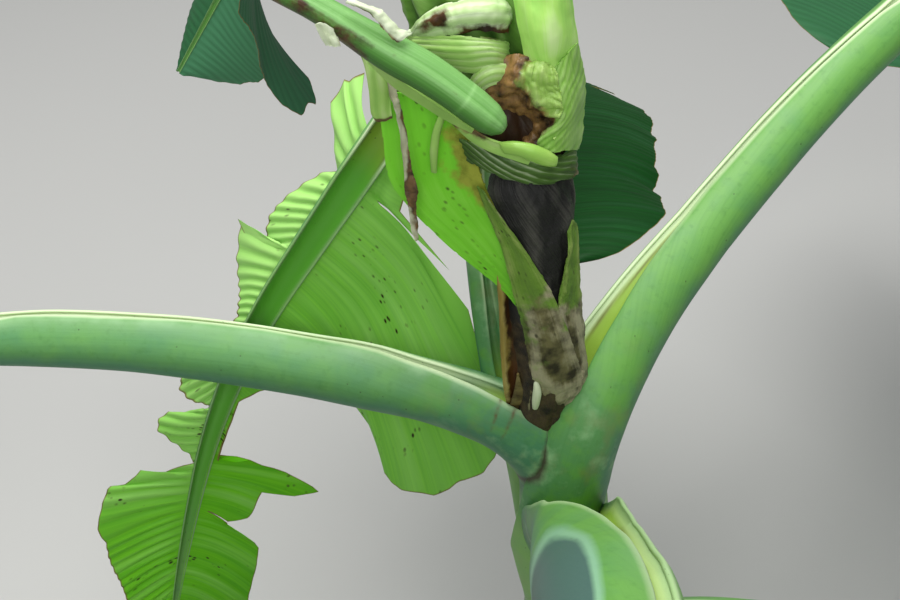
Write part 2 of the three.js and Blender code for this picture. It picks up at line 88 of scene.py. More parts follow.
def noise(x: Array, y: Array, seed: float) -> Array:
    """Smooth random heights from -1 to 1 over a grid of cells one unit wide.

    Each corner of a cell has a random height. A point's height is the blend of its cell's four corners, by smooth
    steps along x and y.

    Args:
        x: first coordinate.
        y: second coordinate, of the same shape.
        seed: picks the pattern.

    Returns:
        The heights.
    """
    x, y = np.broadcast_arrays(np.asarray(x, float), np.asarray(y, float))
    column, row = np.floor(x), np.floor(y)
    along, across = smooth(x - column, 0, 1), smooth(y - row, 0, 1)

    def corner(right: int, up: int) -> Array:
        """The random height at one corner of the cells."""
        wave = np.sin((column + right) * 127.1 + (row + up) * 311.7 + seed * 74.7) * 43758.5453
        return 2 * (wave - np.floor(wave)) - 1

    low = corner(0, 0) * (1 - along) + corner(1, 0) * along
    high = corner(0, 1) * (1 - along) + corner(1, 1) * along
    return low * (1 - across) + high * across


def crumple(x: Array, y: Array, seed: float) -> Array:
    """Noise at three sizes, each half the size and half the height of the one before."""
    return sum(noise(x * 2**k, y * 2**k, seed + 7 * k) / 2**k for k in range(3)) / 1.75


def spline_weights(count: int, samples: int) -> Array:
    """Weights of a Catmull-Rom curve: each sample blends the four controls around it and the curve meets them all.

    Args:
        count: how many controls.
        samples: how many evenly spread samples.

    Returns:
        A matrix of samples by controls.
    """
    at = np.linspace(0, count - 1, samples)
    cell = np.minimum(at.astype(int), count - 2)
    t = at - cell
    basis = [-t / 2 + t**2 - t**3 / 2, 1 - 2.5 * t**2 + 1.5 * t**3, t / 2 + 2 * t**2 - 1.5 * t**3, (t**3 - t**2) / 2]
    weights = np.zeros((samples, count))
    for step, share in enumerate(basis):
        np.add.at(weights, (np.arange(samples), np.clip(cell - 1 + step, 0, count - 1)), share)
    return weights


@dataclass(frozen=True)
class Frames:
    """Places along a course with their directions: along it, to its left side, and up from it."""

    at: Array
    along: Array
    side: Array
    up: Array

    def place(self, side: Array, up: Array, ahead: Array = 0.0) -> Array:
        """The points that lie side, up and ahead of the course, in mm."""
        parts = ((self.side, side), (self.up, up), (self.along, ahead))
        return self.at + sum(axis * np.asarray(reach, float)[..., None] for axis, reach in parts)


class Course:
    """A limb's course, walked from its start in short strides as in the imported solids.

    A station is [distance, heading, climb, roll]: heading is turned from +X towards +Y, climb is above the level,
    and roll turns the limb about itself.
    """

    STRIDE = 5.0

    def __init__(self, start: Array, stations: Stations) -> None:
        """Walks the course: each stride goes the way that the course points at the stride's middle.

        Args:
            start: where it begins, in mm.
            stations: its rows.
        """
        self.stations = [tuple(row) + (0.0,) * (4 - len(row)) for row in stations]
        self.length = float(self.stations[-1][0])
        middles = (np.arange(int(self.length // self.STRIDE) + 1) + 0.5) * self.STRIDE
        strides = self._directions(middles)[0] * self.STRIDE
        self.points = np.vstack([start, start + np.cumsum(strides, axis=0)])

    def _directions(self, s: Array) -> tuple[Array, Array, Array]:
        """Turns heading and climb into directions: along is the level heading tipped up by the climb.

        Args:
            s: distances along the course.

        Returns:
            The unrolled directions along, over and left.
        """
        heading = np.radians(ramp(self.stations, s, 1))
        climb = np.radians(ramp(self.stations, s, 2))
        zero = np.zeros_like(heading)
        level = np.stack([np.cos(heading), np.sin(heading), zero], -1)
        rise = np.stack([zero, zero, zero + 1], -1)
        along = level * np.cos(climb)[..., None] + rise * np.sin(climb)[..., None]
        over = rise * np.cos(climb)[..., None] - level * np.sin(climb)[..., None]
        return along, over, np.stack([-level[..., 1], level[..., 0], zero], -1)

    def frames(self, s: Array) -> Frames:
        """Reads the course between its strides and rolls its directions.

        Args:
            s: distances, an array of any shape, held within the course.

        Returns:
            The places and directions there.
        """
        s = np.clip(np.asarray(s, float), 0, self.length + self.STRIDE)
        index = np.minimum((s // self.STRIDE).astype(int), len(self.points) - 2)
        share = (s / self.STRIDE - index)[..., None]
        at = self.points[index] * (1 - share) + self.points[index + 1] * share
        along, over, left = self._directions(s)
        roll = np.radians(ramp(self.stations, s, 3))[..., None]
        side = left * np.cos(roll) + over * np.sin(roll)
        return Frames(at, along, side, over * np.cos(roll) - left * np.sin(roll))


@dataclass(frozen=True)
class Viewpoint:
    """Where the photograph is taken from. A pixel counts from the top left corner of its 900 by 600 frame."""

    place: tuple[float, float, float] = (-166.0, -466.69, 1543.97)
    tilt_deg: float = 45.0
    focal_px: float = 1250.0
    width_px: int = 900
    height_px: int = 600
    sensor_mm: float = 36.0

    def axes(self) -> tuple[Array, Array]:
        """The picture's upward direction and the direction into the scene."""
        tilt = math.radians(self.tilt_deg)
        return np.array([0, math.sin(tilt), math.cos(tilt)]), np.array([0, math.cos(tilt), -math.sin(tilt)])

    def point(self, px: Array, py: Array, depth: Array) -> Array:
        """The point seen at a pixel, depth mm into the scene.

        Args:
            px: pixel column.
            py: pixel row.
            depth: how far in, measured along the view.

        Returns:
            The points in mm.
        """
        up, ahead = self.axes()
        right = (np.asarray(px, float) - self.width_px / 2) / self.focal_px
        rise = (self.height_px / 2 - np.asarray(py, float)) / self.focal_px
        ray = ahead + right[..., None] * np.array([1.0, 0, 0]) + rise[..., None] * up
        return np.array(self.place) + ray * np.asarray(depth, float)[..., None]

    def sight(self, points: Array) -> tuple[Array, Array]:
        """Where points are seen: the row goes by the rise over the depth.

        Args:
            points: places in mm.

        Returns:
            The pixel rows and the depths.
        """
        up, ahead = self.axes()
        away = points - np.array(self.place)
        depth = away @ ahead
        return self.height_px / 2 - self.focal_px * (away @ up) / depth, depth


VIEW = Viewpoint()


# ---- meshes --------------------------------------------------------------------------------------------------------


@dataclass
class Patch:
    """Part of a mesh: points in mm, four-sided faces with a UV at each corner, values at the points, and end caps."""

    points: Array
    faces: Array
    uv: Array
    values: dict[str, Array]
    caps: list[list[int]] = field(default_factory=list)


def normals(grid: Array) -> Array:
    """A grid's unit normals: the cross product of its two directions of growth."""
    across = np.cross(np.gradient(grid, axis=0), np.gradient(grid, axis=1))
    return across / np.maximum(np.linalg.norm(across, axis=-1, keepdims=True), 1e-9)


def shell(grid: Array, thickness: Array, uv: Array, values: dict[str, Array], keep: Optional[Array] = None) -> Patch:
    """Turns a sheet into a closed shell: half the thickness lies to each side, and walls close every open edge.

    Args:
        grid: the sheet's points, rows by columns.
        thickness: one thickness, or one for each point.
        uv: the sheet's UV at each point.
        values: named values at each point.
        keep: which cells between the points stay, all of them by default.

    Returns:
        The closed patch.
    """
    rows, columns = grid.shape[:2]
    count = rows * columns
    half = normals(grid) * np.broadcast_to(np.asarray(thickness, float) / 2, (rows, columns))[..., None]
    points = np.concatenate([(grid + half).reshape(-1, 3), (grid - half).reshape(-1, 3)])
    index = np.arange(count).reshape(rows, columns)
    corners = np.stack([index[:-1, :-1], index[1:, :-1], index[1:, 1:], index[:-1, 1:]], -1)
    keep = np.ones((rows - 1, columns - 1), bool) if keep is None else keep
    top = corners[keep]
    ring = np.pad(keep, 1)
    beyond = (ring[1:-1, :-2], ring[2:, 1:-1], ring[1:-1, 2:], ring[:-2, 1:-1])
    faces = [top, top[:, ::-1] + count]
    for edge, neighbour in enumerate(beyond):
        cells = corners[keep & ~neighbour]
        first, second = cells[:, edge], cells[:, (edge + 1) % 4]
        faces.append(np.stack([second, first, first + count, second + count], -1))
    used, renumbered = np.unique(np.concatenate(faces), return_inverse=True)
    renumbered = renumbered.reshape(-1, 4)
    both = {name: np.tile(np.broadcast_to(v, (rows, columns)).ravel(), 2)[used] for name, v in values.items()}
    return Patch(points[used], renumbered, np.tile(uv.reshape(-1, 2), (2, 1))[used][renumbered], both)


def tube(rings: Array, uv: Array, values: dict[str, Array]) -> Patch:
    """Closes rings of points into a tube with flat ends, its faces turned outwards.

    Args:
        rings: points, rings by places round a ring.
        uv: UV at each point, with the first place of a ring repeated at its end.
        values: named values at each point.

    Returns:
        The closed patch.
    """
    count, around = rings.shape[:2]
    index = np.arange(count * around).reshape(count, around)
    index = np.concatenate([index, index[:, :1]], 1)
    picks = ((slice(None, -1), slice(None, -1)), (slice(1, None), slice(None, -1)))
    picks += ((slice(1, None), slice(1, None)), (slice(None, -1), slice(1, None)))
    faces = np.stack([index[pick] for pick in picks], -1).reshape(-1, 4)
    corners = np.stack([uv[pick] for pick in picks], -2).reshape(-1, 4, 2)
    caps = [index[0, :-1].tolist(), index[-1, :-1][::-1].tolist()]
    points = rings.reshape(-1, 3)
    a, b, c, d = (points[faces[:, k]] - points.mean(0) for k in range(4))
    volume = (np.cross(a, b) * c).sum() + (np.cross(a, c) * d).sum()
    if volume < 0:
        faces, corners, caps = faces[:, ::-1], corners[:, ::-1], [cap[::-1] for cap in caps]
    flat = {name: np.broadcast_to(v, (count, around)).ravel() for name, v in values.items()}
    return Patch(points, faces, corners, flat, caps)


def piece_from(name: str, patches: Sequence[Patch], finish: bpy.types.Material) -> bpy.types.Object:
    """Joins patches into one object at the origin, in metres.

    Args:
        name: the piece's name.
        patches: its parts, which store the same values.
        finish: its material.

    Returns:
        The object, linked to the scene.
    """
    polygons, corners, start = [], [], 0
    for patch in patches:
        polygons += (patch.faces + start).tolist() + [[start + i for i in cap] for cap in patch.caps]
        corners += [patch.uv.reshape(-1, 2)] + [np.zeros((len(cap), 2)) for cap in patch.caps]
        start += len(patch.points)
    mesh = bpy.data.meshes.new(name)
    mesh.from_pydata((np.concatenate([p.points for p in patches]) * MM).tolist(), [], polygons)
    mesh.uv_layers.new(name="UVMap").data.foreach_set("uv", np.concatenate(corners).astype(np.float32).ravel())
    for key in sorted(patches[0].values):
        stored = np.concatenate([patch.values[key] for patch in patches]).astype(np.float32)
        mesh.attributes.new(key, "FLOAT", "POINT").data.foreach_set("value", stored)
    mesh.materials.append(finish)
    mesh.polygons.foreach_set("use_smooth", [True] * len(polygons))
    mesh.set_sharp_from_angle(angle=math.radians(SHARP_DEG))
    mesh.update()
    piece = bpy.data.objects.new(name, mesh)
    bpy.context.scene.collection.objects.link(piece)
    return piece


def settle(piece: bpy.types.Object, slot: str, *nodes: str) -> None:
    """Lets a piece ride on the plant and reports it.

    Args:
        piece: the piece.
        slot: not used.
        nodes: the nodes that it stands for.
    """
    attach(piece, BODY)
    if nodes:
        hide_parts(*nodes)
    log.info("%s: %d faces, for %s", piece.name, len(piece.data.polygons), ", ".join(nodes) or "no node")


# ---- finishes ------------------------------------------------------------------------------------------------------


def linear(colour: str) -> tuple[float, float, float, float]:
    """An sRGB hex colour as linear RGBA: each channel below 0.04045 is divided by 12.92, the others by the power."""
    channels = [int(colour[i : i + 2], 16) / 255 for i in (1, 3, 5)]
    return tuple(c / 12.92 if c <= 0.04045 else ((c + 0.055) / 1.055) ** 2.4 for c in channels) + (1.0,)


@dataclass
class Shading:
    """A material while it is made: its node tree, with the steps that all the finishes share."""

    name: str

    def __post_init__(self) -> None:
        """Starts an empty material."""
        self.material = bpy.data.materials.new(self.name)
        self.material.use_nodes = True
        self.tree = self.material.node_tree
        self.tree.nodes.clear()

    def add(self, kind: str, inputs: dict, result: int | str = 0, **settings: object) -> Optional[Socket]:
        """Adds a node with its settings and links.

        Args:
            kind: the node's type, without the word that every shader node's type starts with.
            inputs: what its inputs take, by name or number: an output socket, a number, a hex colour, or the name of
                a value that is stored at the mesh's points.
            result: which output to give, by name or number.
            settings: the node's own settings.

        Returns:
            The output, if the node has any.
        """
        node = self.tree.nodes.new("ShaderNode" + kind)
        for name, value in settings.items():
            setattr(node, name, value)
        for name, value in inputs.items():
            if isinstance(value, str):
                value = linear(value) if value[0] == "#" else self.add("Attribute", {}, "Fac", attribute_name=value)
            if isinstance(value, Socket):
                self.tree.links.new(value, node.inputs[name])
            else:
                node.inputs[name].default_value = value
        return node.outputs[result] if node.outputs else None

    def cells(self, size_mm: tuple[float, float, float], on_surface: bool) -> Socket:
        """The place on the object, or on its UV map, counted in cells of a real size."""
        place = self.add("UVMap", {}, uv_map="UVMap") if on_surface else self.add("TexCoord", {}, "Object")
        return self.add("VectorMath", {0: place, 1: tuple(1 / (size * MM) for size in size_mm)}, operation="MULTIPLY")

    def pattern(self, size_mm: tuple[float, float, float], on_surface: bool = False, detail: float = 3.0) -> Socket:
        """Noise from 0 to 1, with features of a real size along each axis of the object or of the UV map."""
        inputs = {"Vector": self.cells(size_mm, on_surface), "Scale": 1.0, "Detail": detail, "Roughness": 0.55}
        return self.add("TexNoise", inputs, "Fac")

    def dots(self, size_mm: tuple[float, float, float], radius: float, *factors: object) -> Socket:
        """Small spots, one to a cell of the surface: 1 inside and 0 outside, times the factors."""
        distance = self.add("TexVoronoi", {"Vector": self.cells(size_mm, True), "Scale": 1.0}, "Distance")
        return self.share(distance, radius, radius * 0.45, *factors)

    def share(self, source: object, low: float, high: float, *factors: object) -> Socket:
        """How much of a layer shows: the source mapped from low..high to 0..1, held at both ends, times the factors.

        Args:
            source: a pattern or a stored value's name.
            low: where the layer begins to show. It may be above high.
            high: where the layer shows in full.
            factors: numbers, patterns or stored values' names.

        Returns:
            The share.
        """
        share = self.add("MapRange", {"Value": source, "From Min": low, "From Max": high}, clamp=True)
        for factor in factors:
            share = self.add("Math", {0: share, 1: factor}, operation="MULTIPLY")
        return share

    def total(self, *terms: tuple[object, float]) -> Socket:
        """Adds up sources, each times its weight.

        Args:
            terms: each is [source, weight].

        Returns:
            The sum.
        """
        total = 0.0
        for source, weight in terms:
            total = self.add("Math", {0: source, 1: weight, 2: total}, operation="MULTIPLY_ADD")
        return total

    def paint(self, colour: object, *layers: tuple[object, object]) -> Socket:
        """Lays colours over one another.

        Args:
            colour: the lowest one.
            layers: each is [share, colour], and the share says how much of it shows.

        Returns:
            The colour.
        """
        for share, over in layers:
            colour = self.add("Mix", {0: share, 6: colour, 7: over}, 2, data_type="RGBA")
        return colour

    def relief(self, *layers: tuple[Socket, float]) -> Socket:
        """Tilts the normal by heights, one after the other.

        Args:
            layers: each is [height, its depth in mm].

        Returns:
            The normal.
        """
        below = {}
        for height, depth_mm in layers:
            inputs = {"Height": height, "Distance": depth_mm * MM, "Strength": 1.0}
            below = {"Normal": self.add("Bump", inputs | below)}
        return below["Normal"]

    def finish(self, colour: object, normal: Socket, roughness: float, through: float = 0.0,
               glow: Optional[Socket] = None, specular: float = 0.4) -> bpy.types.Material:
        """Ends the material in a shader, with a share of the light let through a thin leaf.

        Args:
            colour: its base colour.
            normal: its normal.
            roughness: its roughness.
            through: the share of light that goes through, 0 for none.
            glow: the colour of the light that goes through, the base colour by default.
            specular: its specular level.

        Returns:
            The material.
        """
        inputs = {"Base Color": colour, "Normal": normal, "Roughness": roughness, "Specular IOR Level": specular}
        surface = self.add("BsdfPrincipled", inputs)
        if through > 0:
            thin = self.add("BsdfTranslucent", {"Color": glow or colour, "Normal": normal})
            surface = self.add("MixShader", {0: through, 1: surface, 2: thin})
        self.add("OutputMaterial", {"Surface": surface})
        return self.material


@dataclass(frozen=True)
class BladeFinish:
    """A living leaf blade: a thin, satin skin that light shines through, ribbed by fine parallel veins.

    The fine veins of the real blade lie about 0.6 mm apart, too fine for the render, so they are drawn wider.
    """

    name: str
    green: str
    deep: str
    pale: str
    glow: str
    dry: str = "#8a7440"
    speck: str = "#33300f"
    through: float = 0.3
    roughness: float = 0.42
    specks: float = 0.0
    ridges: float = 0.6
    vein_mm: float = 2.0
    vein_depth_mm: float = 0.12
    specular: float = 0.4

    def material(self) -> bpy.types.Material:
        """Paints veins in two greens, pale ridges, a thin dry margin and dark specks along the veins, and the painted
        light that the leaf's table gives each half.

        Returns:
            The material.
        """
        shading = Shading(self.name)
        veins = shading.pattern((self.vein_mm, 120, 1), on_surface=True)
        broad = shading.pattern((self.vein_mm * 5, 200, 1), on_surface=True, detail=2)
        patches = shading.pattern((60, 60, 60))
        lit = shading.share(veins, 0.25, 0.75)
        margin = shading.total(("edge", 1), (shading.pattern((11, 11, 11), detail=5), 1))
        dead = [(shading.share(margin, 1.5, 0.7), self.dry)]
        if self.specks > 0:
            cluster = shading.share(shading.pattern((30, 45, 1), on_surface=True), 0.56, 0.62)
            dead.append((shading.dots((3.2, 6, 1), 0.3 * self.specks, cluster), self.speck))
        colour = shading.paint(
            self.deep,
            (lit, self.green),
            (shading.share(broad, 0.5, 0.8, self.ridges), self.pale),
            (shading.share(patches, 0.4, 0.7, 0.5), self.deep),
            # painted light from the leaf's table
            ("light", self.pale),
            *dead,
        )
        glow = shading.paint(self.green, (lit, self.glow), *dead)
        normal = shading.relief((broad, self.vein_depth_mm * 2), (veins, self.vein_depth_mm))
        return shading.finish(colour, normal, self.roughness, self.through, glow, self.specular)


@dataclass(frozen=True)
class StalkFinish:
    """A leaf stalk's waxy skin: smooth light green, with a blue-green bloom on its underside that also paints the
    underside's shade, and pale margins with a painted highlight along them.
    """

    name: str
    green: str = "#629844"
    deep: str = "#366c28"  # fibres and mottling under the skin
    # blue-green bloom, darker on the underside as painted shade
    bloom: str = "#417956"
    # whitish wax beside the margins, which also paints their highlight
    wax: str = "#a6cc92"
    bare: str = "#5d9a34"  # where the bloom is rubbed off near the pseudostem
    worn: str = "#7b7448"
    # painted light: a lighter green that brightens the stalk's foot, which the sheaths shade
    foot: str = "#8ab862"
    arch_sheen: str = "#8ab49a"  # painted sheen: the pale band round the shaded core
    core: str = "#43605a"  # painted shade on the darkest bloom, under the front stalk
    channel: str = "#86a836"
    rib: str = "#58a030"
    # pale margins: their own paleness with a painted highlight along the edge
    rim_and_highlight: str = "#d0e2b4"
    crease: str = "#5a4c22"  # painted shade: a thin dark line just inside each margin, along the slit
    sap: str = "#2f3a1c"
    scar: str = "#5a4522"
    crevice_shade: str = "#33261c"  # painted shade in the crevice between two sheaths

    def material(self) -> bpy.types.Material:
        """Paints a patchy, rubbed bloom, darker on the underside as painted shade, faint stripes of fibres and dots of
        sap, and painted highlights on the margins and on the wax beside them. The front stalk's underside gets a core
        of painted shade ringed by a painted sheen, and a thin line of painted shade lies along the slit. Near the
        pseudostem the skin is stained and scarred, lightened at the foot as painted light, and darkened in the crevice
        between two sheaths as painted shade.

        Returns:
            The material.
        """
        shading = Shading(self.name)
        fibres = shading.pattern((90, 1.8, 1), on_surface=True)
        rubbed = shading.pattern((26, 26, 26), detail=7)
        stains = shading.pattern((16, 16, 22), detail=7)
        fine = shading.pattern((1.4, 1.4, 1.4))
        mottle = shading.pattern((5, 5, 5), detail=6)
        # real bloom together with painted shade, most of it on the underside
        bloom = shading.total(("bloom", 1), (rubbed, 1.1), ("base", 0.4))
        # wax with a painted highlight beside the margins
        beside = shading.share(rubbed, 0.3, 0.65, "wax")
        wax = shading.total((beside, 0.55), (shading.share(rubbed, 0.55, 0.7, "base"), 0.55))
        # how far from the core of painted shade on the bloom, which a painted sheen rings
        border = shading.total(("border", 1), (rubbed, 14))
        # the gap is 0 where two sheaths touch, and its sign is dropped here because it changes inside a face; painted
        # shade darkens the crevice along it
        apart = shading.add("Math", {0: "gap"}, operation="ABSOLUTE")
        gap = shading.total((apart, 1), (mottle, 2))
        colour = shading.paint(
            self.green,
            (shading.share(bloom, 0.5, 1.3), self.bloom),
            (shading.share(fibres, 0.45, 0.8, 0.25), self.deep),
            (shading.share(mottle, 0.55, 0.75, 0.35), self.deep),
            # painted highlight on the wax beside the margins
            (wax, self.wax),
            (shading.share(rubbed, 0.5, 0.36, "base", 0.75), self.bare),
            (shading.share(stains, 0.52, 0.68, "base", 0.35), self.worn),
            # painted light at the stalk's foot
            ("foot", self.foot),
            # painted sheen round the front stalk's core, then the core's painted shade
            (shading.share(border, -44, -14, 0.7), self.arch_sheen),
            (shading.share(border, -6, 14), self.core),
            ("inside", shading.paint(self.channel, ("rib", self.rib))),
            # pale margins with a painted highlight
            ("lip", self.rim_and_highlight),
            # painted shade along the slit, just inside each margin
            ("line", self.crease),
            (shading.dots((11, 7, 1), 0.07, 0.7), self.sap),
            (shading.share(mottle, 0.3, 0.65, "scar"), self.scar),
            # painted shade in the crevice between two sheaths
            (shading.share(gap, 3.2, 1.4, 0.9), self.crevice_shade),
        )
        return shading.finish(colour, shading.relief((fibres, 0.1), (fine, 0.05)), 0.5)


@dataclass(frozen=True)
class SheathFinish:
    """The pseudostem's wrapped leaf sheaths: waxy green, with dry brown margins and brown, fibrous old patches."""

    name: str = "wrapped_green_sheaths"
    green: str = "#7fa765"
    waxy: str = "#93b787"
    old: str = "#6d5a3a"
    fibre: str = "#4f5a34"
    dry: str = "#8a6d45"

    def material(self) -> bpy.types.Material:
        """Paints it browner towards the foot, with dry fibres that run up the stem.

        Returns:
            The material.
        """
        shading = Shading(self.name)
        fibres = shading.pattern((1.8, 60, 1), on_surface=True)
        patches = shading.pattern((34, 34, 120), detail=5)
        colour = shading.paint(
            self.green,
            (shading.share(patches, 0.35, 0.7), self.waxy),
            (shading.share(shading.total(("old", 1), (patches, 0.7)), 0.75, 1.15), self.old),
            (shading.share(fibres, 0.4, 0.8, 0.4), self.fibre),
            (shading.share(shading.total(("lip", 1), (fibres, 0.4)), 0.65, 1.0), self.dry),
        )
        return shading.finish(colour, shading.relief((patches, 0.8), (fibres, 0.5)), 0.55, specular=0.35)


@dataclass(frozen=True)
class HeartFinish:
    """Young leaf tissue of the heart: pleated and limp, with painted highlight on its folds' crests and painted shade
    in their valleys, and with rot that spreads from its edges.
    """

    name: str
    # pale is the painted highlight on the crests, deep the painted shade in the valleys
    green: str
    pale: str
    deep: str
    rot: str = "#6b4a26"
    dark: str = "#2c1c10"
    crest_highlight: Optional[str] = None  # painted highlight: a paler colour for the rotten part's fold crests, if any
    speck: str = "#2e2a12"
    through: float = 0.2
    roughness: float = 0.45
    specks: float = 0.0
    fibre_mm: float = 1.6
    stain_mm: float = 9.0
    depth_mm: float = 0.15

    def material(self) -> bpy.types.Material:
        """Paints a highlight on the pleats' ridges and shade in their valleys. Rot follows the piece's own value,
        broken by noise.

        Returns:
            The material.
        """
        shading = Shading(self.name)
        fibres = shading.pattern((60, self.fibre_mm, 1), on_surface=True)
        patches = shading.pattern((10, 10, 10), detail=7)
        fine = shading.pattern((2.6, 2.6, 2.6), detail=5)
        stain = shading.pattern((self.stain_mm,) * 3, detail=4)
        # painted highlight on the folds' crests and painted shade in their valleys
        ridge = shading.total(("ridge", 1), (fibres, 0.5))
        broken = shading.total(("rot", 1), (patches, 1.1))
        rotten = shading.paint(self.dark, (shading.share(stain, 0.36, 0.6), self.rot))
        if self.crest_highlight:
            crest_highlights = shading.share(shading.total((ridge, 1), (stain, 1)), 1.1, 1.5, 0.8)
            rotten = shading.paint(rotten, (crest_highlights, self.crest_highlight))
        colour = shading.paint(
            self.deep,
            (shading.share(ridge, 0.1, 0.75), self.green),
            (shading.share(ridge, 0.75, 1.35), self.pale),
            (shading.share(broken, 0.98, 1.22), rotten),
        )
        if self.specks > 0:
            cluster = shading.share(shading.pattern((22, 22, 22)), 0.62 - 0.1 * self.specks, 0.66)
            colour = shading.paint(colour, (shading.dots((6, 3, 1), 0.3, cluster), self.speck))
        normal = shading.relief((fibres, self.depth_mm * 1.5), (fine, self.depth_mm))
        return shading.finish(colour, normal, self.roughness, self.through)


# ---- the leaves ----------------------------------------------------------------------------------------------------

CUPPED = ((0, 26, 6), (0.25, 22, -12), (0.7, 12, -28), (1, 4, -12))
DROOPED = ((0, 22, -4), (0.3, 8, -38), (1, 0, -24))
LOWERED = ((0, 2, -16), (0.25, 8, -24), (0.7, 12, -28), (1, 4, -12))
FOLDED = ((0, 22, -4), (0.4, 0, -60), (1, -30, -80))
CLOSED_SLIT = ((0, 40, -40), (90, 22, -22), (200, 14, -14), (10000, 14, -14))


class Hand(Enum):
    """The two halves of a blade: the left one lies on the side that its leaf's frames call side."""

    LEFT = 0
    RIGHT = 1

    @property
    def sign(self) -> int:
        """+1 to the left, -1 to the right."""
        return 1 if self is Hand.LEFT else -1


@dataclass(frozen=True)
class Ribbing:
    """How a half blade's surface goes up and down: corrugated by its veins, and in long waves near its margin."""

    spacing_mm: float = 9.0
    depth_mm: float = 0.45
    wave_mm: float = 75.0
    wave_depth_mm: float = 7.0


@dataclass(frozen=True)
class Leaf:
    """A leaf's values: its stalk's course and girth, its channel, its blade's outline and how the blade is bent.

    Rows start with a distance along the leaf, or with a share of the blade's length. An outline's rows go on with
    [width, slant of the veins towards the tip], a slit's with the angles of the channel's left and right margin,
    and a rise's with the half blade's angles at the rib and at its margin.
    """

    name: str
    start: tuple[float, float, float]
    course: Stations
    girth: Stations
    blade: tuple[float, float]
    seed: int
    slot: str
    half_width: float = 0.0
    slit: Stations = CLOSED_SLIT
    rise: tuple[Stations, Stations] = (CUPPED, CUPPED)
    outline: Optional[tuple[Stations, Stations]] = None
    slant: float = 0.26
    tears: int = 3
    cuts: Stations = ()
    ribbing: tuple[Ribbing, Ribbing] = (Ribbing(), Ribbing())
    dents: Stations = ()  # in the left half: [share, way across, length, width, depth in mm]
    scars: Sequence[float] = ()  # where old sheaths left a ring
    core: Stations = ((0, 9999), (360, 9999))  # [angle round the stalk, where its bluish core of bloom and painted shade begins]
    light: tuple[Stations, Stations] = (((0, 0), (1, 0)), ((0, 0), (1, 0)))  # painted light: how much paler each half is drawn, standing in for the light that falls on it
    sweep: float = 1.0  # the power of the way across by which the veins' slant sets in
    mouth_mm: float = 8.0  # how far a tear gapes
    rims_mm: tuple[float, float] = (0.8, 0.8)  # how wide the channel's margins are pale, with their painted highlight
    flange: float = 0.05  # how far the margins stand out, as a share of the girth
    waxy: float = 0.35  # whitish wax beside the margins, which also paints a highlight there
    lip_from: tuple[float, float] = (60.0, 150.0)  # where the wax, the right margin's paleness and their painted highlight set in
    paleness: float = 1.0  # of both margins, with their painted highlight
    bloom_and_shade_all_round: float = 0.0  # bloom on all sides, which also darkens the stalk as painted shade
    row_mm: float = 2.4

    def walked(self) -> Course:
        """Its course, which begins at its start: [along +X, along +Y, down the stem] from the throat."""
        right, back, down = self.start
        return Course(THROAT - STEM_AXIS * down + np.array([right, back, 0.0]), self.course)

    def all_cuts(self) -> list[tuple[float, int, float]]:
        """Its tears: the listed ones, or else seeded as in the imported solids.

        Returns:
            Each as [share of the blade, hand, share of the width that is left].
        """
        if self.cuts:
            return [tuple(cut) for cut in self.cuts]
        found = []
        for hand in (0, 1):
            for k in range(self.tears):
                count = k + hand * 20
                share = 0.16 + 0.76 * (k + 0.15 + 0.7 * float(chance(self.seed, count))) / self.tears
                found.append((share, hand, 0.1 + 0.45 * float(chance(self.seed, count + 50))))
        return found


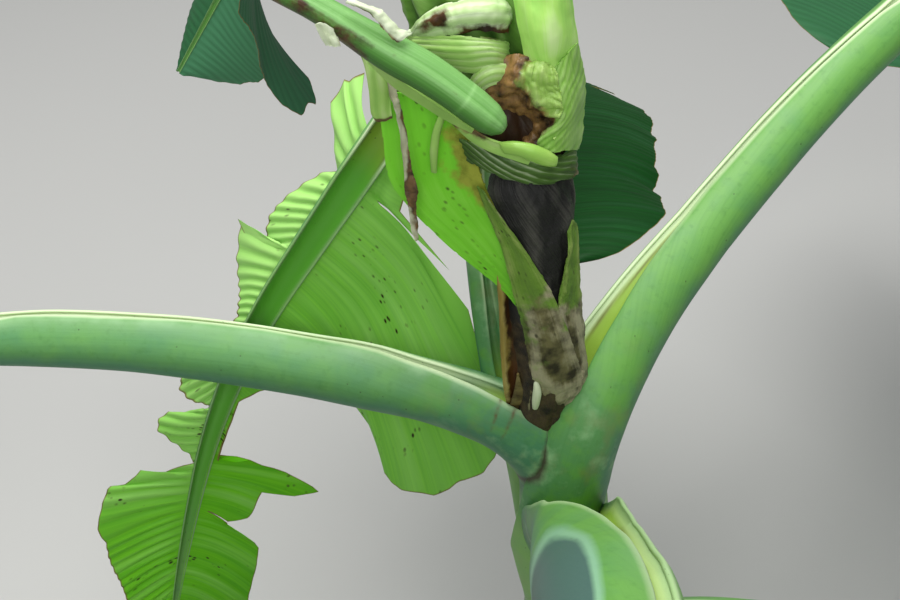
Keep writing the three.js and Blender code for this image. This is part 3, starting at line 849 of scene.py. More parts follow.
@dataclass
class LeafStalk:
    """A leaf stalk and the midrib that it goes over into: a thick crescent in section, open along its channel."""

    leaf: Leaf
    finish: bpy.types.Material
    outer_points: int = 46
    inner_points: int = 18
    ring_mm: float = 4.0
    sheath_mm: float = 130.0
    lip_mm: float = 1.1  # the margins' rounding, and its most as a share of the girth
    lip_share: float = 0.07
    flange_width: float = 0.06  # as a share of the way round the outer wall
    channel_share: float = 0.34  # the channel's depth as a share of its width, with a share of the girth as its most
    channel_most: float = 0.75
    scar_mm: float = 0.8  # half the width of a scar, and how it slopes round the stalk, in mm to a degree
    scar_slope: float = 0.04
    far_mm: float = 99.0
    joint_mm: float = 200.0

    def section(self, s: Array, girth: Array) -> tuple[Array, Array, dict[str, Array]]:
        """The ring at each distance: the outer wall from the left margin under to the right one, then the channel.

        The outer wall is a round whose radius is the girth, and its margins stand out as low flanges, rounded by half
        circles. The channel sinks from the line between the margins by a sine of the way across, deeper where the
        margins stand further apart.

        Args:
            s: distances along the stalk.
            girth: the radius at each.

        Returns:
            The sideways and upward reach of each point, and the values that its finish reads.
        """
        left, right = (np.radians(ramp(self.leaf.slit, s, column))[:, None] for column in (1, 2))
        girth = girth[:, None]
        turn = 2 * math.pi - (left - right)
        q = np.linspace(0, 1, self.outer_points)
        near = np.minimum(q, 1 - q)
        stand = self.leaf.flange * (1 - smooth(s, self.leaf.blade[0] - 80, self.leaf.blade[0]))[:, None]
        outer = girth * (1 + stand * np.exp(-((near / self.flange_width) ** 2)))
        lip = np.minimum(self.lip_share * girth, self.lip_mm)
        middle = girth * (1 + stand) - lip
        arc = np.linspace(0, math.pi, 5)[1:-1]
        right_arc = right + lip * np.sin(arc) / middle, middle + lip * np.cos(arc)
        left_arc = left - lip * np.sin(arc) / middle, middle - lip * np.cos(arc)
        t = np.linspace(0, 1, self.inner_points)
        inner = middle - lip
        across = [inner * (turned(right) * (1 - t) + turned(left) * t) for turned in (np.sin, np.cos)]
        chord = 2 * inner * np.sin((left - right) / 2)
        depth = np.minimum(self.channel_most * girth, self.channel_share * chord + 1.2) * np.sin(math.pi * t) ** 0.8
        side, up = (a - depth * turned((left + right) / 2) for a, turned in zip(across, (np.sin, np.cos)))
        angle = left + turn * q
        rounds = [(angle, outer), right_arc, left_arc]
        sides, ups = ([r * turned(a) for a, r in rounds] for turned in (np.sin, np.cos))
        side = np.concatenate([sides[0], sides[1], side, sides[2]], 1)
        up = np.concatenate([ups[0], ups[1], up, ups[2]], 1)
        three = np.full(3, 0.5)
        inside = np.concatenate([0 * q, three, 0 * t + 1, three])
        away = np.concatenate([near * turn * girth, 0 * right_arc[0], np.minimum(t, 1 - t) * chord, 0 * left_arc[0]], 1)
        facing = np.concatenate([angle, right_arc[0], 0 * t + (left + right) / 2, left_arc[0]], 1)
        start = self.leaf.blade[0]
        blank = np.zeros_like(side)
        rib = smooth(s, start - 8, start + 30)[:, None] + blank
        round_mm, far = near * turn * girth, self.far_mm
        to_rim = [np.concatenate(parts, 1) for parts in (
            [round_mm + far * (q > 0.5), 0 * right_arc[0] + far, (1 - t) * chord, 0 * left_arc[0]],
            [round_mm + far * (q <= 0.5), 0 * right_arc[0], t * chord, 0 * left_arc[0] + far],
        )]
        rims = [np.exp(-((d / (w * inside + 0.8 * (1 - inside))) ** 4)) for d, w in zip(to_rim, self.leaf.rims_mm)]
        lines = [np.exp(-(((d - w - 0.5) / 0.5) ** 2)) for d, w in zip(to_rim, self.leaf.rims_mm)]
        degrees = np.degrees(facing) % 360
        # how far past the start of the core, the painted shade on the bloom
        border = s[:, None] - ramp(self.leaf.core, degrees)
        along = s[:, None] + self.scar_slope * (degrees - 30)
        rings = [np.exp(-(((along - at) / self.scar_mm) ** 2)) for at in self.leaf.scars]
        setting_in = smooth(s, *self.leaf.lip_from)[:, None]
        # the margins' paleness, with a painted highlight along them
        lip = np.clip(rims[0] + rims[1] * setting_in, 0, 1) * smooth(s, 60, 150)[:, None] * (1 - 0.8 * rib)
        values = {
            "lip": 0.85 * self.leaf.paleness * lip,
            # painted shade along the slit, just inside each margin
            "line": 0.75 * np.clip(lines[0] + lines[1], 0, 1) * inside * smooth(s, 90, 150)[:, None] * (1 - rib),
            # wax with a painted highlight beside the margins
            "wax": self.leaf.waxy * np.exp(-((away / 6) ** 2)) * (1 - inside) * (1 - rib) * setting_in,
            "inside": inside * smooth(away, 0.3, 1.2) * smooth(chord, 6, 10) + blank,
            # bloom on the underside, which also paints the underside's shade
            "bloom": self.leaf.bloom_and_shade_all_round + smooth(-np.cos(facing), -0.5, 0.8) * (1 - inside),
            "scar": sum(rings, blank) * smooth(degrees, 4, 12) * (1 - smooth(degrees, 55, 75)) * (1 - inside),
            "base": 1 - smooth(s, 60, 190)[:, None] + blank,
            # painted light that brightens the stalk's foot
            "foot": 0.6 * (1 - smooth(s, 16, 46)[:, None]) + blank,
            "rib": rib,
            "border": np.clip(border - 300 * smooth(s, 500, 560)[:, None], -200, 200),
        }
        return side, up, values

    def gap(self, points: Array) -> Array:
        """How far the points of the left or the right stalk lie outside the other one near their joint: the distance
        from its course less its girth. Painted shade darkens the crevice where it is near 0.

        Args:
            points: the stalk's points.

        Returns:
            The gaps in mm, far for any other stalk.
        """
        nearest = np.full(points.shape[:-1], self.far_mm)
        pair = [leaf for leaf in LEAVES if leaf.name in ("left_leaf", "right_leaf")]
        for other in (leaf for leaf in pair if self.leaf in pair and leaf is not self.leaf):
            for s in np.arange(0.0, self.joint_mm, 3):
                centre, girth = other.walked().frames(s).at, ramp(other.girth, s)
                nearest = np.minimum(nearest, np.linalg.norm(points - centre, axis=-1) - girth)
        return nearest

    def build(self) -> bpy.types.Object:
        """Carries the section along the course. Below its start the stalk goes on as a sheath that sinks into the
        pseudostem along the stem's axis. Rings stand closer at the scars.

        Returns:
            The piece.
        """
        leaf, course = self.leaf, self.leaf.walked()
        end = leaf.blade[1] - 2
        even = np.linspace(-self.sheath_mm, end, int((end + self.sheath_mm) / self.ring_mm))
        s = np.unique(np.concatenate([even, *(np.arange(at - 14, at + 8, 0.6) for at in self.leaf.scars)]))
        girth = ramp(leaf.girth, s) * (1 + 0.012 * noise(s / 37, s * 0, leaf.seed)) * (1 + np.minimum(s, 0) / 330)
        side, up, values = self.section(s, girth)
        rings = course.frames(s[:, None] + 0 * side).place(side, up) + STEM_AXIS * np.minimum(s, 0)[:, None, None]
        values["gap"] = self.gap(rings)
        v = np.arange(side.shape[1] + 1) / side.shape[1] * 2 * math.pi * np.maximum(girth, 6)[:, None]
        uv = np.stack([s[:, None] + 0 * v, v], -1) * MM
        return piece_from(f"{leaf.name}_stalk_and_midrib", [tube(rings, uv, values)], self.finish)


@dataclass
class LeafBlade:
    """A leaf blade: two half sheets from the midrib to their margins, ribbed by the veins and torn along them."""

    leaf: Leaf
    finish: bpy.types.Material
    columns: int = 26
    thickness_mm: float = 0.8
    ragged_share: float = 0.035  # how much the margin wanders in and out, and how long its waves are
    ragged_mm: float = 16
    meets_at: float = 0.72  # where a half leaves the midrib, as a share of the girth
    gape_reach_mm: float = 34  # how far from a tear its lips are parted

    def half_width(self, share: Array, hand: Hand) -> Array:
        """The full width: from the leaf's table, or else a quarter circle at the base and a blunt power at the tip.

        Args:
            share: shares of the blade's length.
            hand: which half.

        Returns:
            The widths in mm.
        """
        if self.leaf.outline:
            return ramp(self.leaf.outline[hand.value], share)
        share = np.clip(share, 0, 1)
        base = np.sqrt(1 - (1 - np.minimum(share / 0.2, 1)) ** 2)
        tip = (1 - np.maximum(0, (share - 0.5) / 0.5) ** 2.3) ** 0.8
        return self.leaf.half_width * base * tip

    def half(self, course: Course, hand: Hand) -> Patch:
        """One half: it leaves the rib at one angle and bends steadily to another, as an arc of its width's length.

        Args:
            course: the leaf's course.
            hand: which half.

        Returns:
            The closed half sheet.
        """
        leaf = self.leaf
        start, end = leaf.blade
        length = end - start
        cuts = [(start + share * length, rest) for share, side, rest in leaf.all_cuts() if side == hand.value]
        even = np.linspace(start, end - 1, int(length / leaf.row_mm))
        near = [np.abs(even - at) for at, _ in cuts]
        even = even[np.min(near, axis=0) > 0.8] if near else even
        s = np.sort(np.concatenate([even] + [[at - 0.05, at + 0.05] for at, _ in cuts]))
        t = np.linspace(0, 1, self.columns) ** 0.9
        rows, across = np.meshgrid(s, t, indexing="ij")
        moved, lifted = rows.copy(), np.zeros_like(rows)
        for at, rest in cuts:
            gape = np.clip((across - rest) / (1 - rest), 0, 1)
            nearby = np.exp(-(((rows - at) / self.gape_reach_mm) ** 2)) * np.sign(rows - at)
            moved += leaf.mouth_mm * gape * nearby
            lifted += 0.6 * leaf.mouth_mm * gape**1.5 * nearby
        keep = np.ones((len(s) - 1, len(t) - 1), bool)
        middles = (t[:-1] + t[1:]) / 2
        for at, rest in cuts:
            keep[np.abs((s[:-1] + s[1:]) / 2 - at) < 0.02] &= middles < rest
        share = (rows - start) / length
        girth = ramp(leaf.girth, rows)
        width = self.half_width(share, hand)
        width = width * (1 - self.ragged_share * (1 + noise(rows / self.ragged_mm, rows * 0, leaf.seed + hand.value)))
        width = np.maximum(width, girth * 0.85 + 2)
        inner = np.minimum(girth * self.meets_at / width, 0.9)
        reach = inner + (1 - inner) * across
        root, margin = (np.radians(ramp(leaf.rise[hand.value], share, column)) for column in (1, 2))
        bend = margin - root
        bend = np.where(np.abs(bend) < 1e-4, 1e-4, bend)
        angle = root + bend * reach
        out = width / bend * (np.sin(angle) - np.sin(root))
        up = width / bend * (np.cos(root) - np.cos(angle))
        if leaf.outline:
            slant = ramp(leaf.outline[hand.value], share, 2)
        else:
            slant = leaf.slant * np.minimum(1, np.minimum(rows - start, end - rows) / 90)
        frames = course.frames(moved)
        grid = frames.place(hand.sign * out, up, slant * width * reach**leaf.sweep)
        rib = leaf.ribbing[hand.value]
        turn = 2 * math.pi * rows / rib.spacing_mm + 1.6 * noise(rows / 40, across * 2, leaf.seed + 3)
        height = rib.depth_mm * np.sin(turn) * smooth(across, 0.02, 0.2) * (1 - 0.35 * across)
        height = height + rib.wave_depth_mm * across**2 * noise(rows / rib.wave_mm, across, leaf.seed + 5 + hand.value)
        height = height + lifted
        for at, where, long, wide, depth in leaf.dents if hand is Hand.LEFT else ():
            height = height + depth * np.exp(-(((share - at) / long) ** 2) - ((across - where) / wide) ** 2)
        facing = normals(grid) * np.sign((normals(grid) * frames.up).sum(-1).mean())
        grid = grid + facing * height[..., None]
        uv = np.stack([rows, width * reach], -1) * MM
        away = width * (1 - reach)
        spread = np.linalg.norm(np.gradient(grid, axis=0), axis=-1) / np.gradient(rows, axis=0)
        for at, rest in cuts:
            beside = np.abs(rows - at) * np.maximum(spread, 1) + 40 * np.clip(rest - across, 0, 1)
            away = np.minimum(away, beside)
        ridge = 0.5 + 0.5 * np.sin(turn)
        taper = self.thickness_mm * (1 - 0.5 * across)
        # painted light: each half drawn paler as its leaf's table says, more on the corrugation's crests than in its
        # valleys
        light = ramp(leaf.light[hand.value], share) * (0.75 + 0.25 * ridge)
        return shell(grid, taper, uv, {"edge": away, "light": light}, keep)

    def build(self) -> bpy.types.Object:
        """Both halves as one piece."""
        course = self.leaf.walked()
        return piece_from(f"{self.leaf.name}_blade", [self.half(course, hand) for hand in Hand], self.finish)


HANGING_OUTLINE = (
    ((0, 9, -0.6), (0.017, 19, -0.4), (0.038, 30, 0), (0.0655, 34, 0.02), (0.0665, 150, 0.52), (0.092, 172, 0.54),
     (0.113, 184, 0.58), (0.135, 189, 0.62), (0.156, 190, 0.67), (0.175, 188, 0.71), (0.192, 182, 0.76),
     (0.205, 172, 0.79), (0.22, 159, 0.84), (0.233, 149, 0.84), (0.248, 139, 0.82), (0.263, 122, 0.75),
     (0.278, 108, 0.66), (0.295, 88, 0.6), (0.312, 72, 0.57), (0.348, 58, 0.54), (0.38, 38, 0.51), (0.423, 21, 0.6),
     (0.466, 10, 0.5), (0.594, 9, 0.3), (0.6, 30, 0.1), (0.607, 61, 0.16), (0.6175, 92, 0.28), (0.628, 76, 0.33),
     (0.639, 49, 0.3), (0.671, 46, 0.44), (0.69, 45, 0.48), (0.6985, 28, 0.7), (0.703, 35, 0.8), (0.7115, 58, 0.7),
     (0.722, 64, 0.69), (0.754, 67, 0.75), (0.786, 66, 0.81), (0.829, 64, 0.85), (0.882, 58, 0.95), (0.936, 41, 1.2),
     (1, 7, 1.2)),
    ((0, 33, -0.75), (0.013, 38, -0.55), (0.0256, 41, -0.63), (0.0385, 41, -0.36), (0.047, 32, -0.24),
     (0.0556, 21, -0.07), (0.062, 14, 0.25), (0.0726, 21, 0.35), (0.0876, 26, 0.57), (0.107, 31, 0.76),
     (0.13, 33, 0.82), (0.154, 31, 0.96), (0.175, 24, 1.1), (0.185, 21, 1.15), (0.187, 27, 0.9), (0.1923, 42, 0.53),
     (0.1987, 52, 0.27), (0.209, 47, 0.41), (0.2265, 40, 0.65), (0.252, 31, 0.8), (0.286, 21, 0.78), (0.32, 15, 0.75),
     (0.355, 18, 0.96), (0.376, 26, 1.25), (0.393, 33, 1.4), (0.419, 32, 1.45), (0.444, 22, 1.6), (0.47, 11, 1.6),
     (0.489, 6, 1.6), (0.494, 8, 1.4), (0.502, 22, 0.67), (0.515, 34, 0.41), (0.532, 39, 0.37), (0.551, 37, 0.37),
     (0.57, 25, 0.35), (0.592, 11, 0.3), (0.607, 5, 0.3), (0.611, 6, 0.1), (0.6175, 15, 0.19), (0.624, 26, 0.35),
     (0.628, 40, 0.2), (0.637, 49, 0.35), (0.65, 60, 0.28), (0.667, 62, 0.33), (0.692, 63, 0.5), (0.705, 56, 0.68),
     (0.733, 53, 0.74), (0.765, 47, 0.82), (0.808, 39, 0.8), (0.861, 32, 0.89), (0.925, 19, 1.1), (1, 5, 1)),
)
HANGING_RISE = (
    ((0, 8, 4), (0.3, 4, -16), (0.6, 2, -10), (1, 2, -8)),
    ((0, -10, -55), (0.3, -10, -55), (0.6, -4, -30), (1, 2, -8)),
)
HANGING_CUTS = ((0.066, 0, 0.15), (0.6975, 0, 0.3), (0.0625, 1, 0.4), (0.1865, 1, 0.6), (0.609, 1, 0.5))

BACK_LEFT_OUTLINE = (
    ((0, 10, 0.0), (0.02, 60, 0.06), (0.05, 92, 0.14), (0.1, 121, 0.29), (0.15, 135, 0.42), (0.2, 140, 0.42),
     (0.5, 142, 0.42), (0.6, 150, 0.42), (0.66, 164, 0.42), (0.7, 168, 0.42), (0.74, 158, 0.42), (0.77, 118, 0.42),
     (0.8, 98, 0.42), (0.85, 92, 0.42), (0.9, 82, 0.29), (0.95, 66, 0.14), (0.98, 42, 0.06), (1, 8, 0.0)),
    ((0, 10, 0.0), (0.02, 54, 0.06), (0.05, 80, 0.14), (0.1, 104, 0.29), (0.15, 116, 0.42), (0.2, 120, 0.42),
     (0.5, 120, 0.42), (0.6, 117, 0.42), (0.7, 108, 0.42), (0.8, 89, 0.42), (0.9, 58, 0.29), (0.96, 29, 0.12),
     (1, 6, 0.0)),
)

LEAVES = (
    Leaf(
        name="front_leaf", start=(-10, 0, 112), blade=(490, 1410), half_width=185, seed=3, slot="fresh_blade",
        course=((0, -79, 90, 0), (45, -83, 68, -4), (90, -87, 52, -14), (200, -97.5, 49, -20), (420, -95.2, 50, -20),
                (520, -98, 36, 0), (760, -97, 8, 0), (1080, -95, -28, 0), (1420, -94, -56, 0)),
        girth=((0, 24), (90, 26), (200, 26), (320, 25.7), (430, 24.3), (800, 12), (1410, 2)),
        slit=((0, 90, -84), (120, 46, -84), (160, 30, -80), (200, 22, -74), (220, 22, -71), (240, 24, -66),
              (260, 25.5, -58), (280, 26, -49), (300, 26, -41), (340, 24.5, -29), (370, 23, -20), (400, 22, -14),
              (420, 23.5, -10), (440, 28, -3), (460, 38, 6), (480, 47, 14), (520, 52, 24), (580, 55, 0),
              (660, 55, -55), (1410, 60, -60)),
        rims_mm=(3, 0.6), flange=0.06, waxy=0.15, paleness=0.5,
        rise=(LOWERED, LOWERED),
        # where the front stalk's underside is darkened by painted shade
        core=((0, 720), (195, 720), (222, 480), (238, 404), (262, 384), (290, 378), (300, 392), (310, 414),
              (320, 444), (330, 484), (340, 534), (352, 620), (360, 720)),
    ),
    Leaf(
        name="right_leaf", start=(-8, 0, 80), blade=(450, 1420), half_width=195, seed=5, slot="fresh_blade",
        course=((0, 45, 90, 0), (45, 50, 85, 0), (90, 49, 62, -2), (130, 53, 35, -6), (200, 43, 31, -6),
                (300, 41.6, 28, -4), (440, 32, 25, 0), (760, 32, 0, 0), (1080, 31, -36, 0), (1430, 30, -60, 0)),
        girth=((0, 30), (60, 30), (100, 27.5), (150, 23.5), (230, 18.5), (400, 16), (800, 10), (1420, 2)),
        slit=((0, 150, 20), (60, 146, 12), (80, 130, 8), (100, 105, 2), (120, 74, -6), (140, 56, -4), (160, 46, -3),
              (200, 42, 6), (250, 42, 17), (300, 38, 16), (350, 30, 13), (400, 20, 6), (460, 30, -30), (540, 55, -55),
              (1420, 60, -60)),
        rims_mm=(1.8, 0.5), flange=0.04, waxy=0.25, lip_from=(150, 330),
    ),
    Leaf(
        name="left_leaf", start=(-7, 0, 70), blade=(455, 1230), half_width=165, seed=8, slot="fresh_blade",
        course=((0, 150, 87, 0), (40, 156, 86, 0), (75, 157, 44, 0), (110, 160, 8, -4), (160, 169, 5, -8),
                (260, 172, 4, -8), (400, 178, -2, 0), (700, 181, -22, 0), (1240, 184, -58, 0)),
        girth=((0, 22), (80, 21.5), (150, 19), (390, 16.5), (700, 10), (1230, 2)),
        slit=((0, 30, -130), (60, 22, -110), (80, 18, -50), (90, 17, -20), (100, 18, -8), (110, 13, -10),
              (120, 8, -12), (130, 4, -14), (140, -1, -18), (150, -6, -22), (160, -10, -27), (170, -15, -34),
              (180, -21, -43), (200, -27, -56), (250, -30, -58), (300, -24, -56), (350, -14, -50), (400, -12, -44),
              (460, 30, -30), (540, 55, -55), (1230, 60, -60)),
        scars=(97, 104), rims_mm=(1.4, 1.8), flange=0.15, waxy=1, paleness=1.1, bloom_and_shade_all_round=0.3,
    ),
    Leaf(
        name="back_leaf", start=(-14, 12, 234), blade=(325, 830), half_width=108, seed=13, slot="old_blade",
        course=((0, 95, 82, 0), (50, 90, 50, 0), (120, 88, 16, 0), (300, 87, 0, 0), (450, 85, -8, 0),
                (840, 82, -34, 0)),
        girth=((0, 24), (60, 20), (120, 15), (330, 12), (600, 7), (830, 2)),
        slit=((0, 14, -14), (300, 14, -14), (400, 50, -50), (830, 60, -60)),
        rise=(DROOPED, DROOPED), slant=0.22, cuts=((0.482, 0, 0.11), (0.704, 0, 0.16), (0.86, 1, 0.5)), mouth_mm=3,
    ),
    Leaf(
        name="back_right_leaf", start=(-16, 14, 231), blade=(700, 1390), half_width=150, seed=21, slot="old_blade",
        course=((0, 77, 64, 0), (50, 71, 46, 0), (100, 71, 46, 0), (150, 76, 18, 0), (300, 57, 3, 0), (450, 53, -1, 0),
                (700, 54, -6, 0), (900, 55, -10, 0), (1150, 56, -30, 0), (1400, 56, -48, 0)),
        girth=((0, 20), (60, 18), (120, 15), (600, 12), (900, 9), (1390, 2)),
        slit=((0, 14, -14), (670, 14, -14), (770, 50, -50), (1390, 60, -60)),
        rise=(DROOPED, DROOPED), slant=0.22, mouth_mm=1, light=(((0, 0.35), (1, 0.35)), ((0, 0.35), (1, 0.35))),
    ),
    Leaf(
        name="back_left_leaf", start=(-6, 14, 173), blade=(480, 1100), seed=25, slot="old_blade",
        course=((0, 104, 62, 0), (50, 108, 50, 0), (100, 104, 42, 0), (150, 88, 40, 0), (330, 84, 38, 0),
                (430, 98, 28, 0), (560, 130, 6, 0), (740, 138, -30, -20), (880, 140, -58, -45), (960, 172, -60, -60),
                (1110, 200, -56, -60)),
        girth=((0, 14), (120, 13), (480, 11), (800, 7), (1100, 2)),
        slit=((0, 14, -14), (450, 14, -14), (550, 50, -50), (1100, 60, -60)),
        outline=BACK_LEFT_OUTLINE, cuts=((0.257, 0, 0.4), (0.765, 0, 0.45), (0.3, 1, 0.3), (0.55, 1, 0.4)),
        rise=(DROOPED, FOLDED), mouth_mm=2, light=(((0, 0.8), (1, 0.8)), ((0, 0.3), (1, 0.3))),
    ),
    Leaf(
        name="low_right_leaf", start=(2, -14, 235), blade=(310, 1070), half_width=165, seed=30, slot="old_blade",
        course=((0, -30, 84, 0), (60, -27, 58, 0), (170, -24, 28, 0), (300, -22, 12, 0), (620, -20, -22, 0),
                (1080, -18, -58, 0)),
        girth=((0, 25), (60, 21), (130, 17), (310, 14), (600, 9), (1070, 2)),
        slit=((0, 14, -14), (290, 14, -14), (390, 50, -50), (1070, 60, -60)),
        rise=(DROOPED, DROOPED), slant=0.22,
    ),
    Leaf(
        name="low_left_leaf", start=(-12, -16, 290), blade=(300, 1030), half_width=160, seed=39, slot="old_blade",
        course=((0, 232, 84, 0), (60, 230, 56, 0), (180, 228, 24, 0), (300, 227, 8, 0), (620, 225, -26, 0),
                (1040, 222, -60, 0)),
        girth=((0, 25), (60, 21), (130, 17), (300, 14), (600, 9), (1030, 2)),
        slit=((0, 14, -14), (280, 14, -14), (380, 50, -50), (1030, 60, -60)),
        rise=(DROOPED, DROOPED), slant=0.22,
    ),
    Leaf(
        name="hanging_leaf", start=(-23, 12, 10), blade=(307, 775), seed=34, slot="hanging_blade",
        course=((0, 132, 50, 0), (60, 108, 58, 0), (130, 98.2, 56.2, 0), (215, 127.3, 97.2, -8),
                (240, 185.7, 36.3, -40), (262, 195.7, -49.8, -66), (285, 191.2, -57.3, -72), (415, 190, -58, -73),
                (505, 192, -66, -74), (605, 216, -70, -72), (785, 232, -72, -72)),
        girth=((0, 12), (60, 9.5), (200, 9.5), (262, 11), (345, 10.5), (505, 8), (685, 4), (775, 1.5)),
        slit=((0, 40, -40), (100, 16, -16), (235, 14, -14), (262, 64, -64), (340, 74, -74), (775, 78, -78)),
        outline=HANGING_OUTLINE, rise=HANGING_RISE, sweep=1.5, cuts=HANGING_CUTS, row_mm=1.0, mouth_mm=0.4,
        ribbing=(Ribbing(15, 0.3, 60, 4), Ribbing(7.5, 1.1, 30, 3)),
        dents=((0.16, 0.3, 0.1, 0.22, -12),),
        light=(((0, 0.5), (0.3, 0.3), (0.6, 0), (1, 0)), ((0, 1), (0.35, 1), (0.62, 0.45), (0.7, 0.1), (1, 0))),
    ),
)


# ---- the pseudostem ------------------------------------------------------------------------------------------------


@dataclass
class Pseudostem:
    """The leaning pseudostem of wrapped sheaths, flared at the foot, with each sheath's free edge standing proud."""

    foot_radius: float = 62
    taper_power: float = 0.7
    flare: float = 16
    flare_height: float = 130
    throat_radius: float = 26
    top: float = 910
    step: float = 0.07
    sheaths_round: int = 3
    twist_deg: float = 75
    edge_at: float = 0.97
    edge_width: float = 0.03
    ribs_round: int = 34
    rib_share: float = 0.006
    rings: int = 300
    sides: int = 132

    def build(self, finish: bpy.types.Material) -> bpy.types.Object:
        """Stacks level rings up the axis. The radius falls by a power of the height. It grows round each sheath and
        drops at its free edge, within a few degrees.

        Args:
            finish: its material.

        Returns:
            The piece.
        """
        z = np.linspace(0, self.top, self.rings)[:, None]
        angle = np.linspace(0, 2 * math.pi, self.sides, endpoint=False)[None, :]
        share = z / THROAT_HEIGHT
        flare = self.flare * np.maximum(0, 1 - z / self.flare_height) ** 2
        radius = self.foot_radius + (self.throat_radius - self.foot_radius) * share**self.taper_power + flare
        turn = angle / (2 * math.pi) * self.sheaths_round + share * self.twist_deg * self.sheaths_round / 360
        turn = turn + 0.05 * noise(z / 120, z * 0, 4)
        part = turn - np.floor(turn)
        part = np.where(part > self.edge_at, (1 - part) / self.edge_width * self.edge_at, part)
        ribs = self.rib_share * np.sin(angle * self.ribs_round + 2 * noise(z / 90, angle * 3, 9))
        proud = 1 + self.step * (part - 0.5) + ribs + 0.012 * noise(angle * 5, z / 60, 12)
        rings = np.stack([-z * math.tan(LEAN) + radius * proud * np.cos(angle), radius * proud * np.sin(angle),
                          z + 0 * angle], -1)
        around = np.linspace(0, 2 * math.pi, self.sides + 1)[None, :] * radius
        uv = np.stack([around, z + 0 * around], -1) * MM
        values = {"lip": smooth(part, 0.86, self.edge_at), "old": 1 - smooth(z + 0 * angle, 60, 620)}
        piece = piece_from("wrapped_pseudostem", [tube(rings, uv, values)], finish)
        settle(piece, "pseudostem", "pseudostem")
        return piece


# ---- the heart -----------------------------------------------------------------------------------------------------

HEART_COURSE = Course(
    THROAT + np.array([-8.0, 2, -27]),
    ((0, 110, 83, -30), (100, 122, 82, -30), (180, 120, 76, -32), (250, 138, 74, -40), (310, 132, 64, -38),
     (400, 128, 64, -36)),
)
SCROLL_GIRTH = ((0, 13), (45, 15), (120, 19))
KNOT = ((234, 28, 30, 24), (268, 27, 36, 27), (285, 36, 37, 30), (303, 46, 38, 31), (322, 42, 39, 29),
        (340, 27, 31, 21), (350, 12, 15, 9))
ROLLED_COURSE = Course(
    THROAT + np.array([-41.0, 6, 235]),
    ((0, 168, 40), (25, 166, 36), (60, 170, 26), (132, 170, 27), (260, 172, 26), (400, 175, 34)),
)
ROLLED_GIRTH = ((0, 3), (3, 6), (9, 8.2), (18, 9), (140, 9.5), (260, 8.5), (340, 5.5), (390, 1.6))


def heart_depth(py: Array) -> Array:
    """How deep in the view the heart's axis lies, read between 81 points along it.

    Args:
        py: pixel rows.

    Returns:
        The depths in mm.
    """
    rows, depth = VIEW.sight(HEART_COURSE.frames(np.linspace(0, HEART_COURSE.length, 81)).at)
    order = np.argsort(rows)
    return np.interp(py, rows[order], depth[order])


@dataclass(frozen=True)
class FoldedSheet:
    """A fold of the heart: a sheet through a net of controls, each [pixel column, pixel row, front, rot].

    Front is how many mm the control lies nearer than the heart's axis, and rot goes from 0, fresh, to 1, rotten.
    """

    name: str
    net: Net
    slot: str = "heart_leaf"
    thickness_mm: float = 0.9
    swell: bool = False
    pleats: float = 0.0
    pleat_mm: float = 0.0
    pleat_lean: float = 0.0
    crumple_mm: float = 0.6
    crumple_size_mm: float = 12.0
    fray_mm: float = 0.0
    cell_mm: float = 0.9
    seed: int = 1

    def surface(self) -> tuple[Array, Array]:
        """Lays a smooth grid through the controls by Catmull-Rom curves both ways.

        Returns:
            The grid's points in mm, and its rot.
        """
        controls = np.array([[tuple(c) + (0.0,) * (4 - len(c)) for c in row] for row in self.net], float)
        depth = heart_depth(controls[..., 1]) - controls[..., 2]
        points = VIEW.point(controls[..., 0], controls[..., 1], depth)
        long = np.linalg.norm(np.diff(points, axis=0), axis=-1).sum(0).max()
        wide = np.linalg.norm(np.diff(points, axis=1), axis=-1).sum(1).max()
        rows = spline_weights(points.shape[0], max(8, int(long / self.cell_mm)))
        columns = spline_weights(points.shape[1], max(6, int(wide / self.cell_mm)))
        grid = np.einsum("ip,jq,pqc->ijc", rows, columns, points)
        return grid, np.einsum("ip,jq,pq->ij", rows, columns, controls[..., 3])

    def patch(self) -> Patch:
        """Pleats and crumples the grid, frays its edges and closes it.

        The pleats are sines of the way across, leaned along the sheet. The crumples are noise of the given size.

        Returns:
            The closed patch.
        """
        grid, rot = self.surface()
        u, v = np.meshgrid(*(np.linspace(0, 1, n) for n in grid.shape[:2]), indexing="ij")
        long = np.linalg.norm(np.diff(grid, axis=0), axis=-1).sum(0).mean()
        wide = np.linalg.norm(np.diff(grid, axis=1), axis=-1).sum(1).mean()
        x, y = u * long, v * wide
        phase = 2 * math.pi * self.pleats * (v + self.pleat_lean * u) + 1.8 * noise(x / 22, y / 11, self.seed)
        folded = np.sin(phase) * (0.65 + 0.35 * noise(x / 14, y / 14, self.seed + 4)) * (self.pleats > 0)
        lumps = crumple(x / self.crumple_size_mm, y / self.crumple_size_mm, self.seed + 2)
        grid = grid + normals(grid) * (self.pleat_mm * folded + self.crumple_mm * lumps)[..., None]
        edge = np.minimum(np.minimum(x, long - x), np.minimum(y, wide - y))
        keep = None
        if self.fray_mm:
            torn = self.fray_mm * (0.5 + 0.5 * noise(x / 3.2, y / 3.2, self.seed + 9))
            middle = (edge - torn)[:-1, :-1] + (edge - torn)[1:, 1:]
            keep = middle > 0
        thickness = self.thickness_mm
        if self.swell:
            across, along = np.clip(1 - (2 * v - 1) ** 2, 0.02, 1), np.clip(1 - (2 * u - 1) ** 4, 0.05, 1)
            thickness = self.thickness_mm * (np.sqrt(across) * np.sqrt(along))
        # painted light: the pleats' crests and the crumples' bumps paler, their valleys deeper
        ridge = np.clip(0.5 + 0.35 * min(1, self.pleat_mm / 0.45) * folded + 0.35 * lumps, 0, 1)
        return shell(grid, thickness, np.stack([x, y], -1) * MM, {"rot": np.clip(rot, 0, 1), "ridge": ridge}, keep)

    def build(self, finish: bpy.types.Material, *nodes: str) -> bpy.types.Object:
        """Makes the sheet a piece of its own.

        Args:
            finish: its material.
            nodes: the nodes that it stands for.

        Returns:
            The piece.
        """
        piece = piece_from(self.name, [self.patch()], finish)
        settle(piece, self.slot, *nodes)
        return piece


